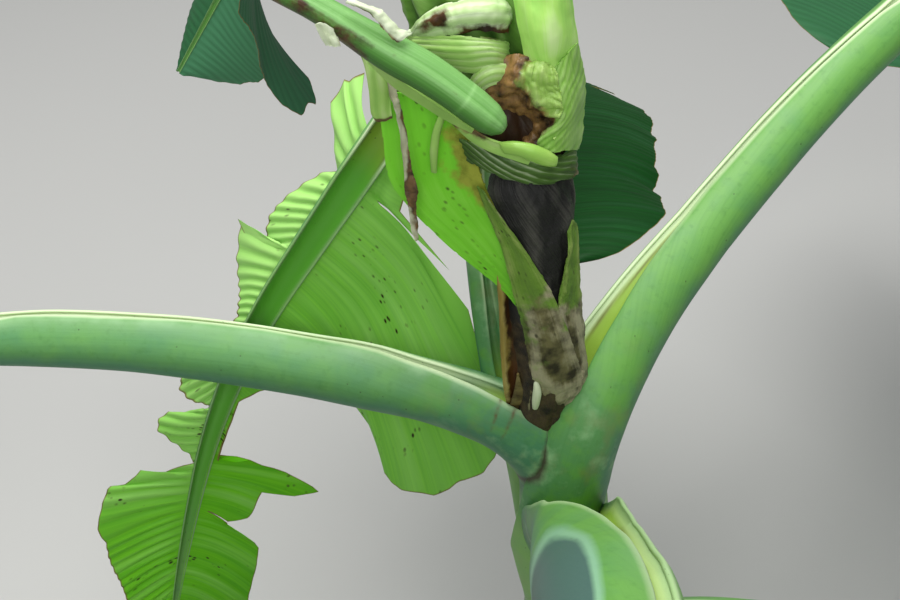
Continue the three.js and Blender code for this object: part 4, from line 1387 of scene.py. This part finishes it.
@dataclass(frozen=True)
class HeartBody:
    """A lumpy round body about the heart's axis: the dead scroll, or the knot of folded blade above it."""

    name: str
    slot: str
    reach: Stations
    pleats: int
    pleat_share: float
    swirl: float
    crumple_share: float
    seed: int
    dent: Optional[tuple[float, float, float]] = None
    rot: Stations = ((0, 0), (400, 0))
    uv_radius_mm: float = 20
    rings: int = 150
    sides: int = 150

    def build(self, finish: bpy.types.Material, *nodes: str) -> bpy.types.Object:
        """Stacks rings whose reach to the left, right and front comes from the table. Pleats wind round by the swirl,
        noise crumples them, and a dent in front makes room for the rotten hollow.

        Args:
            finish: its material.
            nodes: the nodes that it stands for.

        Returns:
            The piece.
        """
        s = np.linspace(self.reach[0][0], self.reach[-1][0], self.rings)[:, None]
        angle = np.linspace(0, 2 * math.pi, self.sides, endpoint=False)[None, :]
        left, right, deep = (ramp(self.reach, s, column) for column in (1, 2, 3))
        across = np.where(np.cos(angle) > 0, left, right)
        phase = self.pleats * angle + self.swirl * s / 10 + noise(s / 18, angle * 2, self.seed)
        folded = np.sin(phase) * smooth(s, s[0, 0], s[0, 0] + 15)
        lumps = crumple(s / 14, np.cos(angle) * 3 + np.sin(angle) * 2, self.seed + 4)
        factor = 1 + self.pleat_share * folded + self.crumple_share * lumps
        if self.dent:
            at, long, depth = self.dent
            front = np.exp(-(((angle - math.pi / 2) / 0.95) ** 2))
            factor = factor * (1 - depth * front * np.exp(-(((s - at) / long) ** 2)))
        ends = np.sqrt(np.clip(1 - np.abs(2 * (s - s[0]) / (s[-1] - s[0]) - 1) ** 14, 0.03, 1))
        frames = HEART_COURSE.frames(s + 0 * angle)
        rings = frames.place(across * factor * ends * np.cos(angle), deep * factor * ends * np.sin(angle))
        around = np.linspace(0, 2 * math.pi, self.sides + 1)[None, :] * self.uv_radius_mm
        uv = np.stack([s + 0 * around, around + self.swirl * s], -1) * MM
        # painted light: the pleats' crests and the crumples' bumps paler, their valleys deeper
        ridge = 0.5 + 0.4 * min(1, self.pleat_share / 0.05) * folded + 0.3 * lumps
        values = {"ridge": np.clip(ridge, 0, 1), "rot": ramp(self.rot, s) + 0 * angle}
        piece = piece_from(self.name, [tube(rings, uv, values)], finish)
        settle(piece, self.slot, *nodes)
        return piece


@dataclass(frozen=True)
class RolledSpear:
    """The rolled leaf that is broken over: a tight scroll whose outer margin lies along it as a low step."""

    rings: int = 260
    sides: int = 56
    margin_at: float = 0.94
    margin_width: float = 0.06
    slimmer_by: float = 0.3
    outer_side: tuple[float, float, float] = (0.5, 0.61, 0.61)
    uv_round_mm: float = 60

    def build(self, finish: bpy.types.Material) -> bpy.types.Object:
        """Carries a round whose radius grows once round and steps in at its margin, with faint dents across. Past
        the break it is slimmer on the side away from outer_side, and stained there.

        Args:
            finish: its material.

        Returns:
            The piece.
        """
        s = np.linspace(0, ROLLED_GIRTH[-1][0], self.rings)[:, None]
        turn = np.linspace(0, 1, self.sides, endpoint=False)[None, :]
        angle = 2 * math.pi * (turn + self.margin_width) + 0.5
        girth = ramp(ROLLED_GIRTH, s) * (1 + 0.05 * noise(s / 24, turn * 2, 3))
        grown = np.where(turn > self.margin_at, (1 - turn) / self.margin_width * self.margin_at, turn)
        reach = girth * (0.92 + 0.17 * grown)
        slim = 1 - self.slimmer_by * smooth(s, 55, 110)
        rings = ROLLED_COURSE.frames(s + 0 * turn).place(slim * reach * np.cos(angle), slim * reach * np.sin(angle))
        rings = rings + ((1 - slim) * girth)[..., None] * self.outer_side
        below = -((rings - rings.mean(1, keepdims=True)) @ self.outer_side) / girth
        stain = 0.6 * smooth(s, 56, 78) * (1 - smooth(s, 112, 150)) * smooth(below, -0.2, 0.3)
        around = np.linspace(0, 1, self.sides + 1)[None, :] * self.uv_round_mm
        uv = np.stack([s + 0 * around, around + 0 * s], -1) * MM
        step = smooth(turn, 0.8, self.margin_at)
        crease = 0.2 * np.exp(-(((s - 24) / 0.9) ** 2))
        # painted light: one side of the roll pale and the other deep, with a paler step at the margin and a faint pale
        # crease across
        values = {"ridge": 0.3 + 0.2 * step + 0.45 * np.sin(angle) + crease, "rot": np.maximum(0.3 * step, stain)}
        piece = piece_from("rolled_spear", [tube(rings, uv, values)], finish)
        settle(piece, "heart_leaf", "rolled_leaf")
        return piece


KNOT_SHEETS = (
    FoldedSheet(
        "tall_fold", seed=3, crumple_mm=1.5, crumple_size_mm=14, pleats=2.5, pleat_mm=0.3, cell_mm=0.8,
        net=(((512, -52, 10), (532, -58, 16), (556, -54, 10), (568, -50, -8)),
             ((511, -30, 15), (533, -34, 22), (560, -30, 14), (572, -28, -6)),
             ((513, 2, 18), (534, -2, 25), (562, 2, 18), (574, 4, -4)),
             ((519, 32, 19), (538, 30, 25), (563, 32, 18), (577, 36, -2)),
             ((527, 62, 18), (543, 60, 22), (560, 58, 18), (578, 66, 0)),
             ((545, 80, 18, 0.4), (552, 78, 20, 0.2), (562, 76, 18), (580, 84, 4))),
    ),
    FoldedSheet(
        "right_band", seed=5, pleats=6, pleat_mm=0.22, pleat_lean=1.6, crumple_mm=1.1, crumple_size_mm=10, fray_mm=0.8,
        net=(((545, 80, 20, 0.3), (556, 66, 20), (568, 52, 14), (577, 42, 2)),
             ((540, 92, 22, 0.6), (556, 84, 22), (572, 76, 15), (582, 66, -2)),
             ((548, 106, 22, 0.8), (560, 100, 23, 0.1), (574, 92, 16), (585, 84, -4)),
             ((552, 122, 22, 0.7), (563, 118, 24, 0.1), (575, 112, 16), (585, 106, -4)),
             ((540, 136, 24, 0.4), (556, 136, 25), (570, 132, 18), (582, 128, -2)),
             ((536, 148, 24), (552, 152, 25), (568, 150, 18), (579, 150, 0))),
    ),
    FoldedSheet(
        "top_left_fold", seed=7, pleats=4, pleat_mm=0.4, crumple_mm=2.2, crumple_size_mm=9, fray_mm=1.6,
        net=(((404, 38, 8, 0.1), (410, 32, 10, 0.3), (414, 40, 8, 0.2)),
             ((430, 10, 14, 0.4), (434, 22, 20, 0.65), (436, 36, 16, 0.1)),
             ((462, -2, 16), (464, 14, 24, 0.25), (466, 33, 20, 0.7)),
             ((492, -4, 14), (494, 12, 24), (492, 33, 22, 0.9)),
             ((510, 0, 6, 0.2), (512, 14, 12, 0.4), (508, 34, 14, 1))),
    ),
    FoldedSheet(
        "left_pleats", seed=11, pleats=6.5, pleat_mm=0.45, crumple_mm=1.1, crumple_size_mm=14, fray_mm=0.6,
        net=(((402, 36, 6), (406, 46, 8), (424, 62, 8)),
             ((432, 36, 16), (434, 50, 18), (448, 70, 16)),
             ((462, 36, 22, 0.2), (466, 52, 24), (474, 74, 20)),
             ((490, 38, 22, 0.6), (494, 52, 24), (498, 72, 18)),
             ((508, 42, 10, 0.4), (508, 56, 12), (510, 72, 8, 0.3))),
    ),
    FoldedSheet(
        "inner_curl", seed=13, pleats=4, pleat_mm=0.4, crumple_mm=0.4,
        net=(((466, 92, 16), (470, 95, 16), (474, 100, 15)),
             ((474, 74, 20), (480, 82, 22), (484, 90, 20)),
             ((490, 64, 22), (494, 74, 23), (496, 84, 20)),
             ((510, 64, 17), (510, 74, 18), (510, 86, 14, 0.6))),
    ),
    FoldedSheet(
        "pleated_collar", seed=17, pleats=4, pleat_mm=0.6, pleat_lean=-1.8, crumple_mm=1.0, crumple_size_mm=12,
        fray_mm=0.5, cell_mm=0.7,
        net=(((460, 138, 13), (464, 148, 14), (468, 160, 14)),
             ((480, 146, 22), (484, 160, 23), (490, 172, 21)),
             ((505, 152, 26), (508, 168, 27), (512, 180, 24)),
             ((532, 156, 27), (535, 170, 28), (538, 184, 25)),
             ((556, 156, 22, 0.2), (560, 168, 23, 0.1), (563, 180, 20, 0.2)),
             ((574, 148, 8, 0.5), (576, 160, 8, 0.5), (577, 174, 6, 0.6)),
             ((570, 150, -16, 0.4), (571, 160, -16, 0.4), (572, 172, -16, 0.5))),
    ),
)
RIB_STUB = FoldedSheet(
    "broken_rib_stub", thickness_mm=6, swell=True, crumple_mm=0.2, cell_mm=0.6,
    net=(((499, 142, 29), (501, 147, 30), (503, 152, 29)),
         ((515, 141, 31), (516, 147, 32), (517, 154, 31)),
         ((533, 144, 31), (533, 152, 33), (532, 160, 31)),
         ((548, 150, 30), (547, 158, 31), (546, 165, 30)),
         ((558, 157, 28), (557, 161, 28), (556, 166, 28))),
)
PALE_TONGUE = FoldedSheet(
    "pale_tongue", thickness_mm=1.4, crumple_mm=0.5, pleats=1, pleat_mm=0.4,
    net=(((448, 112, 17, 1), (451, 121, 17, 0.9)),
         ((471, 128, 23, 0.8), (471, 140, 24, 0.1)),
         ((492, 140, 28, 0.5), (490, 151, 28)),
         ((514, 146, 30, 0.3), (510, 158, 29)),
         ((532, 158, 29), (528, 164, 29))),
)
ROT = FoldedSheet(
    "rotten_hollow", seed=19, crumple_mm=4.5, crumple_size_mm=8, cell_mm=0.7, fray_mm=1.5,
    net=(((500, 58, 12, 0.8), (520, 54, 18, 0.9), (538, 58, 20, 0.5), (556, 68, 22, 0)),
         ((486, 84, 14, 1), (513, 78, 24, 0.8), (534, 80, 25, 0.2), (560, 88, 25, 0)),
         ((486, 106, 12, 1), (514, 102, 18, 1), (538, 104, 22, 0.7), (564, 108, 26, 0)),
         ((498, 128, 10, 1), (518, 126, 9, 1), (538, 124, 14, 1), (560, 122, 25, 0.4)),
         ((506, 150, 14, 1), (526, 150, 15, 1), (542, 146, 20, 0.8), (556, 138, 25, 0.4))),
)
FLAP = FoldedSheet(
    "half_unrolled_flap", seed=23, pleats=6, pleat_mm=0.12, crumple_mm=0.9, crumple_size_mm=30, fray_mm=1.2,
    net=(((376, 88, 2), (400, 92, 4), (430, 100, 6, 0.2), (458, 112, 10, 0.5)),
         ((382, 130, 3), (406, 134, 5), (440, 140, 8, 0.4), (474, 150, 13, 0.8)),
         ((388, 176, 4), (414, 176, 6), (448, 176, 9, 0.4), (484, 182, 14, 0.9)),
         ((410, 208, 5), (432, 208, 7), (462, 206, 10, 0.2), (498, 212, 16, 0.8)),
         ((444, 242, 8), (464, 240, 10), (486, 236, 13), (510, 242, 18, 0.1)),
         ((480, 272, 11), (493, 269, 13), (506, 265, 16), (518, 268, 20)),
         ((506, 294, 13), (514, 292, 15), (521, 290, 18), (528, 294, 21)),
         ((532, 328, 17), (535, 328, 18), (537, 328, 19), (540, 330, 21))),
)
LEFT_LAPEL = FoldedSheet(
    "left_lapel", slot="dead_leaf", seed=29, pleats=1.5, pleat_mm=0.4, crumple_mm=1.2, crumple_size_mm=15, fray_mm=0.9,
    net=(((476, 186, 15, 0.1), (484, 194, 19, 0.3), (491, 204, 20, 0.6)),
         ((490, 220, 18, 0), (501, 225, 21, 0.1), (514, 234, 22, 0.5)),
         ((502, 250, 20, 0), (516, 252, 23, 0.1), (533, 262, 23, 0.45)),
         ((511, 284, 20, 0.1), (530, 286, 24, 0.3), (552, 292, 22, 0.5)),
         ((519, 315, 19, 0.5), (542, 318, 25, 0.7), (567, 326, 20, 0.7)),
         ((526, 350, 18, 0.7), (551, 352, 24, 0.8), (576, 354, 16, 0.8)),
         ((533, 378, 17, 0.7), (555, 380, 21, 0.9), (583, 374, 10, 1)),
         ((541, 392, 12, 1), (557, 394, 16, 1), (580, 386, 8, 1))),
)
RIGHT_LAPEL = FoldedSheet(
    "right_lapel", slot="dead_leaf", seed=31, pleats=1.5, pleat_mm=0.6, crumple_mm=1.4, crumple_size_mm=9, fray_mm=1.6,
    net=(((570, 218, 10, 0.3), (573, 220, 7, 0.2), (576, 224, 0, 0.4)),
         ((567, 252, 17, 0.1), (573, 253, 11, 0), (579, 258, 0, 0.3)),
         ((561, 284, 20, 0.2), (570, 288, 16, 0.1), (581, 290, 0, 0.4)),
         ((558, 305, 21, 0.6), (569, 308, 16, 0.5), (583, 312, 0, 0.9)),
         ((560, 330, 19, 1), (573, 335, 14, 1), (585, 345, -2, 1)),
         ((568, 355, 14, 1), (578, 362, 10, 1), (587, 375, -3, 1)),
         ((570, 388, 12, 1), (578, 394, 8, 1), (585, 404, -3, 1))),
)
DARK_HOLLOW = FoldedSheet(
    "dark_base_of_heart", slot="dead_leaf", seed=33, crumple_mm=1.5, crumple_size_mm=9, fray_mm=0.6,
    net=(((532, 372, 14, 1), (556, 376, 18, 1), (584, 370, 6, 1)),
         ((530, 392, 15, 1), (554, 396, 17, 1), (580, 388, 7, 1)),
         ((528, 408, 13, 1), (548, 412, 14, 1), (568, 404, 8, 1)),
         ((532, 424, 8, 1), (545, 428, 9, 1), (556, 422, 6, 1))),
)
DRY_SHEATH = FoldedSheet(
    "dry_brown_sheath", slot="dead_leaf", seed=37, pleats=2, pleat_mm=0.5, crumple_mm=0.8, fray_mm=0.5,
    net=(((496, 264, 13, 0.1), (508, 268, 9, 1), (530, 280, 12, 1)),
         ((499, 300, 14, 0.1), (512, 303, 8, 1), (534, 308, 13, 1)),
         ((501, 345, 15, 0.1), (514, 347, 8, 0.8), (540, 350, 13, 1)),
         ((503, 385, 12, 0.3), (518, 387, 6, 1), (542, 392, 9, 1)),
         ((508, 408, 0, 0.7), (522, 414, -4, 1), (544, 416, -4, 1))),
)
WHITE_BITS = (
    FoldedSheet(
        "white_stub", thickness_mm=4, swell=True, crumple_mm=0.2, cell_mm=0.5,
        net=(((535, 381, 17), (536, 381, 18), (537, 382, 17)), ((533, 390, 19), (537, 391, 20), (541, 392, 19)),
             ((532, 400, 19), (536, 401, 20), (540, 400, 19)), ((533, 408, 17), (535, 409, 18), (537, 408, 17))),
    ),
    FoldedSheet(
        "whitish_shred", crumple_mm=1.4, crumple_size_mm=5, fray_mm=0.8, seed=47, cell_mm=0.6,
        net=(((314, 24, 42, 0.4), (322, 22, 44, 0.2), (332, 30, 42, 0.6)),
             ((319, 34, 42, 0.2), (327, 35, 45), (338, 38, 42, 0.5)),
             ((327, 45, 41, 0.4), (333, 47, 44, 0.1), (340, 46, 41, 0.6))),
    ),
    FoldedSheet(
        "curled_margin", crumple_mm=1.6, crumple_size_mm=6, fray_mm=1.2, seed=53, cell_mm=0.6,
        net=(((344, 3, 42, 0.9), (346, 1, 42, 0.4), (348, 0, 41, 0.2)),
             ((360, 9, 43, 0.9), (365, 7, 44, 0.1), (370, 6, 41, 0)),
             ((376, 20, 43, 0.9), (381, 16, 44, 0), (386, 13, 41, 0)),
             ((388, 34, 43, 0.9), (395, 31, 44, 0.1), (402, 28, 40, 0)),
             ((396, 42, 42, 0.8), (404, 38, 42, 0.2), (412, 34, 38, 0))),
    ),
)
GREEN_BITS = (
    FoldedSheet(
        "pale_notch", slot="dead_leaf", thickness_mm=1.5, crumple_mm=0.6, cell_mm=0.6,
        net=(((517, 374, 14, 0.9), (519, 374, 14, 0.9)), ((515, 386, 12, 0.8), (522, 386, 12, 0.8)),
             ((512, 398, 8, 0.8), (526, 398, 8, 0.8)), ((508, 410, 0, 1), (530, 412, 0, 1))),
    ),
    FoldedSheet(
        "pale_stub", thickness_mm=2.4, swell=True, crumple_mm=0.3, cell_mm=0.6,
        net=(((440, 113, 15), (443, 113, 16), (446, 116, 15)), ((433, 130, 15), (437, 131, 16), (441, 132, 15)),
             ((430, 150, 15), (434, 151, 16), (438, 151, 15)), ((431, 172, 12), (434, 173, 12), (437, 173, 12))),
    ),
    FoldedSheet(
        "short_torn_piece", crumple_mm=0.8, pleats=2, pleat_mm=0.5, fray_mm=0.4, seed=41,
        net=(((350, 38, 12), (358, 38, 12), (366, 42, 11)), ((364, 62, 14), (373, 62, 15), (384, 66, 13)),
             ((369, 90, 16), (379, 90, 17), (390, 92, 15)), ((371, 112, 16), (380, 112, 17), (391, 110, 15)),
             ((376, 121, 15, 1), (384, 121, 15, 1), (392, 117, 14, 1))),
    ),
    FoldedSheet(
        "spear_margin", thickness_mm=1.6, crumple_mm=0.4, seed=43, cell_mm=0.7,
        net=(((374, 54, 20), (368, 62, 18)), ((400, 78, 24), (394, 86, 20)), ((430, 99, 26), (425, 106, 23)),
             ((457, 117, 27), (453, 123, 25)), ((474, 129, 27, 0.1), (472, 132, 26, 0.1))),
    ),
)
DANGLING_STRIP = FoldedSheet(
    "dangling_strip", slot="dead_leaf", thickness_mm=1.2, crumple_mm=1.6, crumple_size_mm=6, seed=53, cell_mm=0.5,
    net=(((386, 70, 17), (391, 69, 16)), ((391, 96, 19), (397, 95, 17, 0.4)), ((397, 120, 20), (403, 118, 18, 0.8)),
         ((402, 150, 20), (408, 149, 18, 0.6)), ((404, 172, 19, 0.3), (412, 171, 18, 1)),
         ((405, 190, 17, 1), (418, 189, 19, 1)), ((408, 206, 19, 0.5), (415, 208, 16, 1)),
         ((411, 222, 15, 0.2), (418, 221, 17, 0.6)), ((415, 240, 15, 0.3), (418, 240, 15, 0.3))),
)


@dataclass
class Heart:
    """The rotted heart leaf: a dead scroll, a knot of pleated blade on it, and what hangs and stands beside it."""

    # young blade gone limp: yellow-green, with cream crests on its pleats, partly a painted highlight, and painted
    # shade in their valleys
    knot: HeartFinish = HeartFinish("limp_pleated_blade", "#aed476", "#e4f2c0", "#7cae48", roughness=0.4)
    # a fold seen along its veins: fine pale stripes
    band: HeartFinish = HeartFinish("veined_side_blade", "#86b84c", "#c0e08e", "#5c8e30", roughness=0.4)
    # painted shade: blade in the shade of the knot, drawn deep green, and dark brown at its end, where rot and the
    # hollow's painted shade meet
    inner: HeartFinish = HeartFinish("shaded_inner_blade", "#5c8a30", "#8fb860", "#35581c", rot="#3a2412")
    # smooth blade that the light shines through: bright yellow-green, lightened further as painted light where it faces
    # the lamps
    hood: HeartFinish = HeartFinish("smooth_young_blade", "#ccf884", "#f0ffc8", "#a8e868", rot="#7a5a30", through=0.35)
    # a bleached fold: nearly white, with brown tears
    white_fold: HeartFinish = HeartFinish("whitish_fold", "#c4dca0", "#f4f8e4", "#8cb45e", rot="#5a3a1c",
                                          dark="#2a180c")
    # pleats: whitish ridges, partly bleached and partly painted highlight, over dark green valleys of painted shade
    collar: HeartFinish = HeartFinish("bleached_pleated_blade", "#4c7028", "#dce8c4", "#183008", rot="#7a5e44")
    # rot: rough, brown to black, with a wet gloss
    rotten: HeartFinish = HeartFinish("wet_rot", "#8ab04e", "#c8da90", "#55722c", rot="#947042", dark="#22130a",
                                      through=0.0, roughness=0.35, depth_mm=0.5)
    # a dead margin: dull and grey, with brown and black stains
    strip: HeartFinish = HeartFinish("curled_dead_margin", "#a8a888", "#dcdcc4", "#6a6444", rot="#6a5030",
                                     dark="#33241a", through=0.0, roughness=0.7, stain_mm=5)
    # blade lit from behind: vivid green with dark specks, yellow where it dies
    flap: HeartFinish = HeartFinish("flap_blade", "#84dc32", "#a0ea54", "#6ec42a", rot="#a9b03e", dark="#7d8a26",
                                    through=0.3, specks=1.5, depth_mm=0.1)
    # drying blade: matt olive, blotched with black and grey, with painted highlight on its rotten part's fold crests
    lapel: HeartFinish = HeartFinish("drying_blade", "#628628", "#96a65a", "#4c6a28", rot="#6e6842", dark="#2a2410",
                                     crest_highlight="#aca688", through=0.05, roughness=0.7, specks=1.6, depth_mm=0.5,
                                     stain_mm=11)
    # dead blade: black, with fine grey fibres standing out
    dead: HeartFinish = HeartFinish("dead_black_blade", "#171614", "#5c5a52", "#090908", rot="#4a3d26", dark="#1c150e",
                                    through=0.0, roughness=0.6, fibre_mm=0.9, depth_mm=0.6)
    # dry sheath: thin, amber where light comes through, dark brown in broad stains
    amber: HeartFinish = HeartFinish("dry_amber_sheath", "#a8924a", "#c9b87a", "#6d5a2c", rot="#4f2d0c",
                                     dark="#1c0e06", through=0.15, roughness=0.5, stain_mm=24)
    # the broken rib's flesh: wet and light green
    stub: HeartFinish = HeartFinish("broken_rib_flesh", "#a4d060", "#cfe48a", "#80b848", roughness=0.35)
    # limp shreds: pale green, brown at their ends
    limp: HeartFinish = HeartFinish("pale_limp_blade", "#a3cc68", "#cfe0a0", "#7db04a", rot="#8a7a4a", dark="#4a3820")
    # bleached shreds: chalky white with ochre stains
    white: HeartFinish = HeartFinish("bleached_stub", "#dfe8c8", "#f2f5e2", "#b9c893", rot="#a09060")
    # the rolled leaf: waxy dark green, with a painted highlight on one side and painted shade on the other, and a pale
    # step at its margin
    spear: HeartFinish = HeartFinish("rolled_blade", "#548e3a", "#98c880", "#1e4a0c", rot="#5d3f24", dark="#33200f",
                                     through=0.05, roughness=0.42)

    def build(self) -> None:
        """Makes every piece of the heart, from the scroll outwards."""
        dead, knot, hood, collar = (f.material() for f in (self.dead, self.knot, self.hood, self.collar))
        lapel, white, limp = self.lapel.material(), self.white.material(), self.limp.material()
        # both bodies are slimmer than their solids, so that the sheets lie round them
        scroll = tuple((s, r * 0.93, r * 0.93, r * 0.8) for s, r in SCROLL_GIRTH)
        scroll += ((205, 22.5, 22.5, 19), (226, 23, 23, 19))
        body = HeartBody("dead_scroll", "dead_leaf", scroll, pleats=7, pleat_share=0.015, swirl=0.5,
                         crumple_share=0.12, seed=3, rot=((0, 1.0), (110, 1.0), (150, 0.1), (215, 0.0)))
        body.build(dead, "heart_scroll")
        reach = ((216, 18, 19, 14),) + tuple((s, a * 0.9, b * 0.9, c * 0.88) for s, a, b, c in KNOT)
        # the knot body's rot, strongest by the rotten hollow, also paints the shade that falls in that hollow
        body = HeartBody("knot_body", "heart_leaf", reach, pleats=11, pleat_share=0.05, swirl=0.5, crumple_share=0.1,
                         seed=6, dent=(288, 72, 0.7), rot=((216, 0.75), (255, 0.85), (290, 0.2), (350, 0)))
        body.build(self.inner.material(), "heart_knot")
        finishes = {"tall_fold": hood, "pleated_collar": collar, "top_left_fold": self.white_fold.material(),
                    "right_band": self.band.material()}
        for sheet in KNOT_SHEETS:
            sheet.build(finishes.get(sheet.name, knot))
        ROT.build(self.rotten.material())
        RIB_STUB.build(self.stub.material())
        PALE_TONGUE.build(limp)
        FLAP.build(self.flap.material(), "heart_flap")
        LEFT_LAPEL.build(lapel)
        RIGHT_LAPEL.build(lapel)
        DRY_SHEATH.build(self.amber.material(), "dry_sheath")
        DARK_HOLLOW.build(lapel)
        for sheet in WHITE_BITS:
            sheet.build(white)
        for sheet in GREEN_BITS:
            sheet.build(limp)
        DANGLING_STRIP.build(self.strip.material())
        RolledSpear().build(self.spear.material())


# ---- the scene -----------------------------------------------------------------------------------------------------


@dataclass
class Foliage:
    """All the leaves, each with its stalk and blade."""

    # a blade in full sun: mid-green, satin
    fresh: BladeFinish = BladeFinish("fresh_leaf_blade", "#5fa52f", "#478c22", "#86bb4e", "#9cdc34")
    # a young blade, lit through: yellow-green, with broad pale ridges and dark specks
    hanging: BladeFinish = BladeFinish("hanging_leaf_blade", "#7cd410", "#5cb80c", "#c2f48e", "#bcf43a",
                                       specular=0.2, specks=1.0)
    # a thick old blade: dull and dark, partly its own dark green and partly painted shade, with little light through it
    old: BladeFinish = BladeFinish("old_leaf_blade", "#125018", "#0c3a10", "#56986e", "#227a1e", through=0.12,
                                   roughness=0.55, ridges=0.1, specular=0.2)
    stalk: StalkFinish = StalkFinish("waxy_leaf_stalk")

    def build(self) -> None:
        """Makes every stalk and blade."""
        blades = {"fresh_blade": self.fresh, "hanging_blade": self.hanging, "old_blade": self.old}
        finishes = {slot: finish.material() for slot, finish in blades.items()}
        stalk = self.stalk.material()
        for leaf in LEAVES:
            settle(LeafStalk(leaf, stalk).build(), "leaf_stalk", f"{leaf.name}_stalk")
            nodes = (f"{leaf.name}_inner_blade", f"{leaf.name}_outer_blade")
            settle(LeafBlade(leaf, finishes[leaf.slot]).build(), leaf.slot, *nodes)


@dataclass
class Studio:
    """A plain pale floor, soft lights and the camera at the photograph's viewpoint."""

    floor_m: float = 12.0
    floor_colour: str = "#c9c8c4"
    sky: str = "#e6ecf2"
    sky_strength: float = 0.28
    top_power: float = 115
    front_power: float = 60
    clip_m: float = 0.02

    def build(self) -> None:
        """Makes the floor, the lights and the camera."""
        mesh = bpy.data.meshes.new("floor")
        half = self.floor_m / 2
        mesh.from_pydata([(-half, -half, 0), (half, -half, 0), (half, half, 0), (-half, half, 0)], [], [(0, 1, 2, 3)])
        floor = bpy.data.objects.new("floor", mesh)
        bpy.context.scene.collection.objects.link(floor)
        # a matt, finely grained floor
        shading = Shading("pale_floor")
        relief = shading.relief((shading.pattern((4, 4, 4)), 0.05))
        mesh.materials.append(shading.finish(self.floor_colour, relief, 0.9, specular=0.1))
        self.area("top_light", (-0.4, 0.5, 3.7), (-0.1, 0, 0.9), 2.0, self.top_power)
        self.area("front_light", (-0.2, -2.4, 3.0), (-0.1, 0, 1.0), 2.4, self.front_power)
        world = bpy.data.worlds.new("soft_sky")
        world.use_nodes = True
        world.node_tree.nodes["Background"].inputs[0].default_value = linear(self.sky)
        world.node_tree.nodes["Background"].inputs[1].default_value = self.sky_strength
        bpy.context.scene.view_settings.view_transform = "Standard"
        bpy.context.scene.world = world
        self.camera()

    def area(self, name: str, place: Sequence[float], target: Sequence[float], size: float, power: float) -> None:
        """Hangs a square soft light that faces a target.

        Args:
            name: its name.
            place: where it hangs, in m.
            target: what it faces, in m.
            size: its side, in m.
            power: its power in watts.
        """
        light = bpy.data.lights.new(name, "AREA")
        light.size, light.energy = size, power
        lamp = bpy.data.objects.new(name, light)
        aim = np.array(place) - np.array(target)
        across = math.hypot(aim[0], aim[1])
        lamp.location = place
        lamp.rotation_euler = (math.atan2(across, aim[2]), 0, math.atan2(aim[0], -aim[1]))
        bpy.context.scene.collection.objects.link(lamp)

    def camera(self) -> None:
        """A lens whose focal length over its sensor's width is the view's focal length over the frame's width."""
        lens = bpy.data.cameras.new("photo_camera")
        lens.sensor_width = VIEW.sensor_mm
        lens.lens = VIEW.focal_px / VIEW.width_px * VIEW.sensor_mm
        lens.clip_start = self.clip_m
        camera = bpy.data.objects.new("photo_camera", lens)
        camera.location = tuple(c * MM for c in VIEW.place)
        camera.rotation_euler = (math.radians(VIEW.tilt_deg), 0, 0)
        bpy.context.scene.collection.objects.link(camera)
        bpy.context.scene.camera = camera


def main() -> None:
    """Builds the plant and the studio."""
    logging.basicConfig(level=logging.INFO, format="%(name)s: %(message)s")
    Studio().build()
    Pseudostem().build(SheathFinish().material())
    Foliage().build()
    Heart().build()
    bpy.context.view_layer.update()


if __name__ == "__main__":
    main()
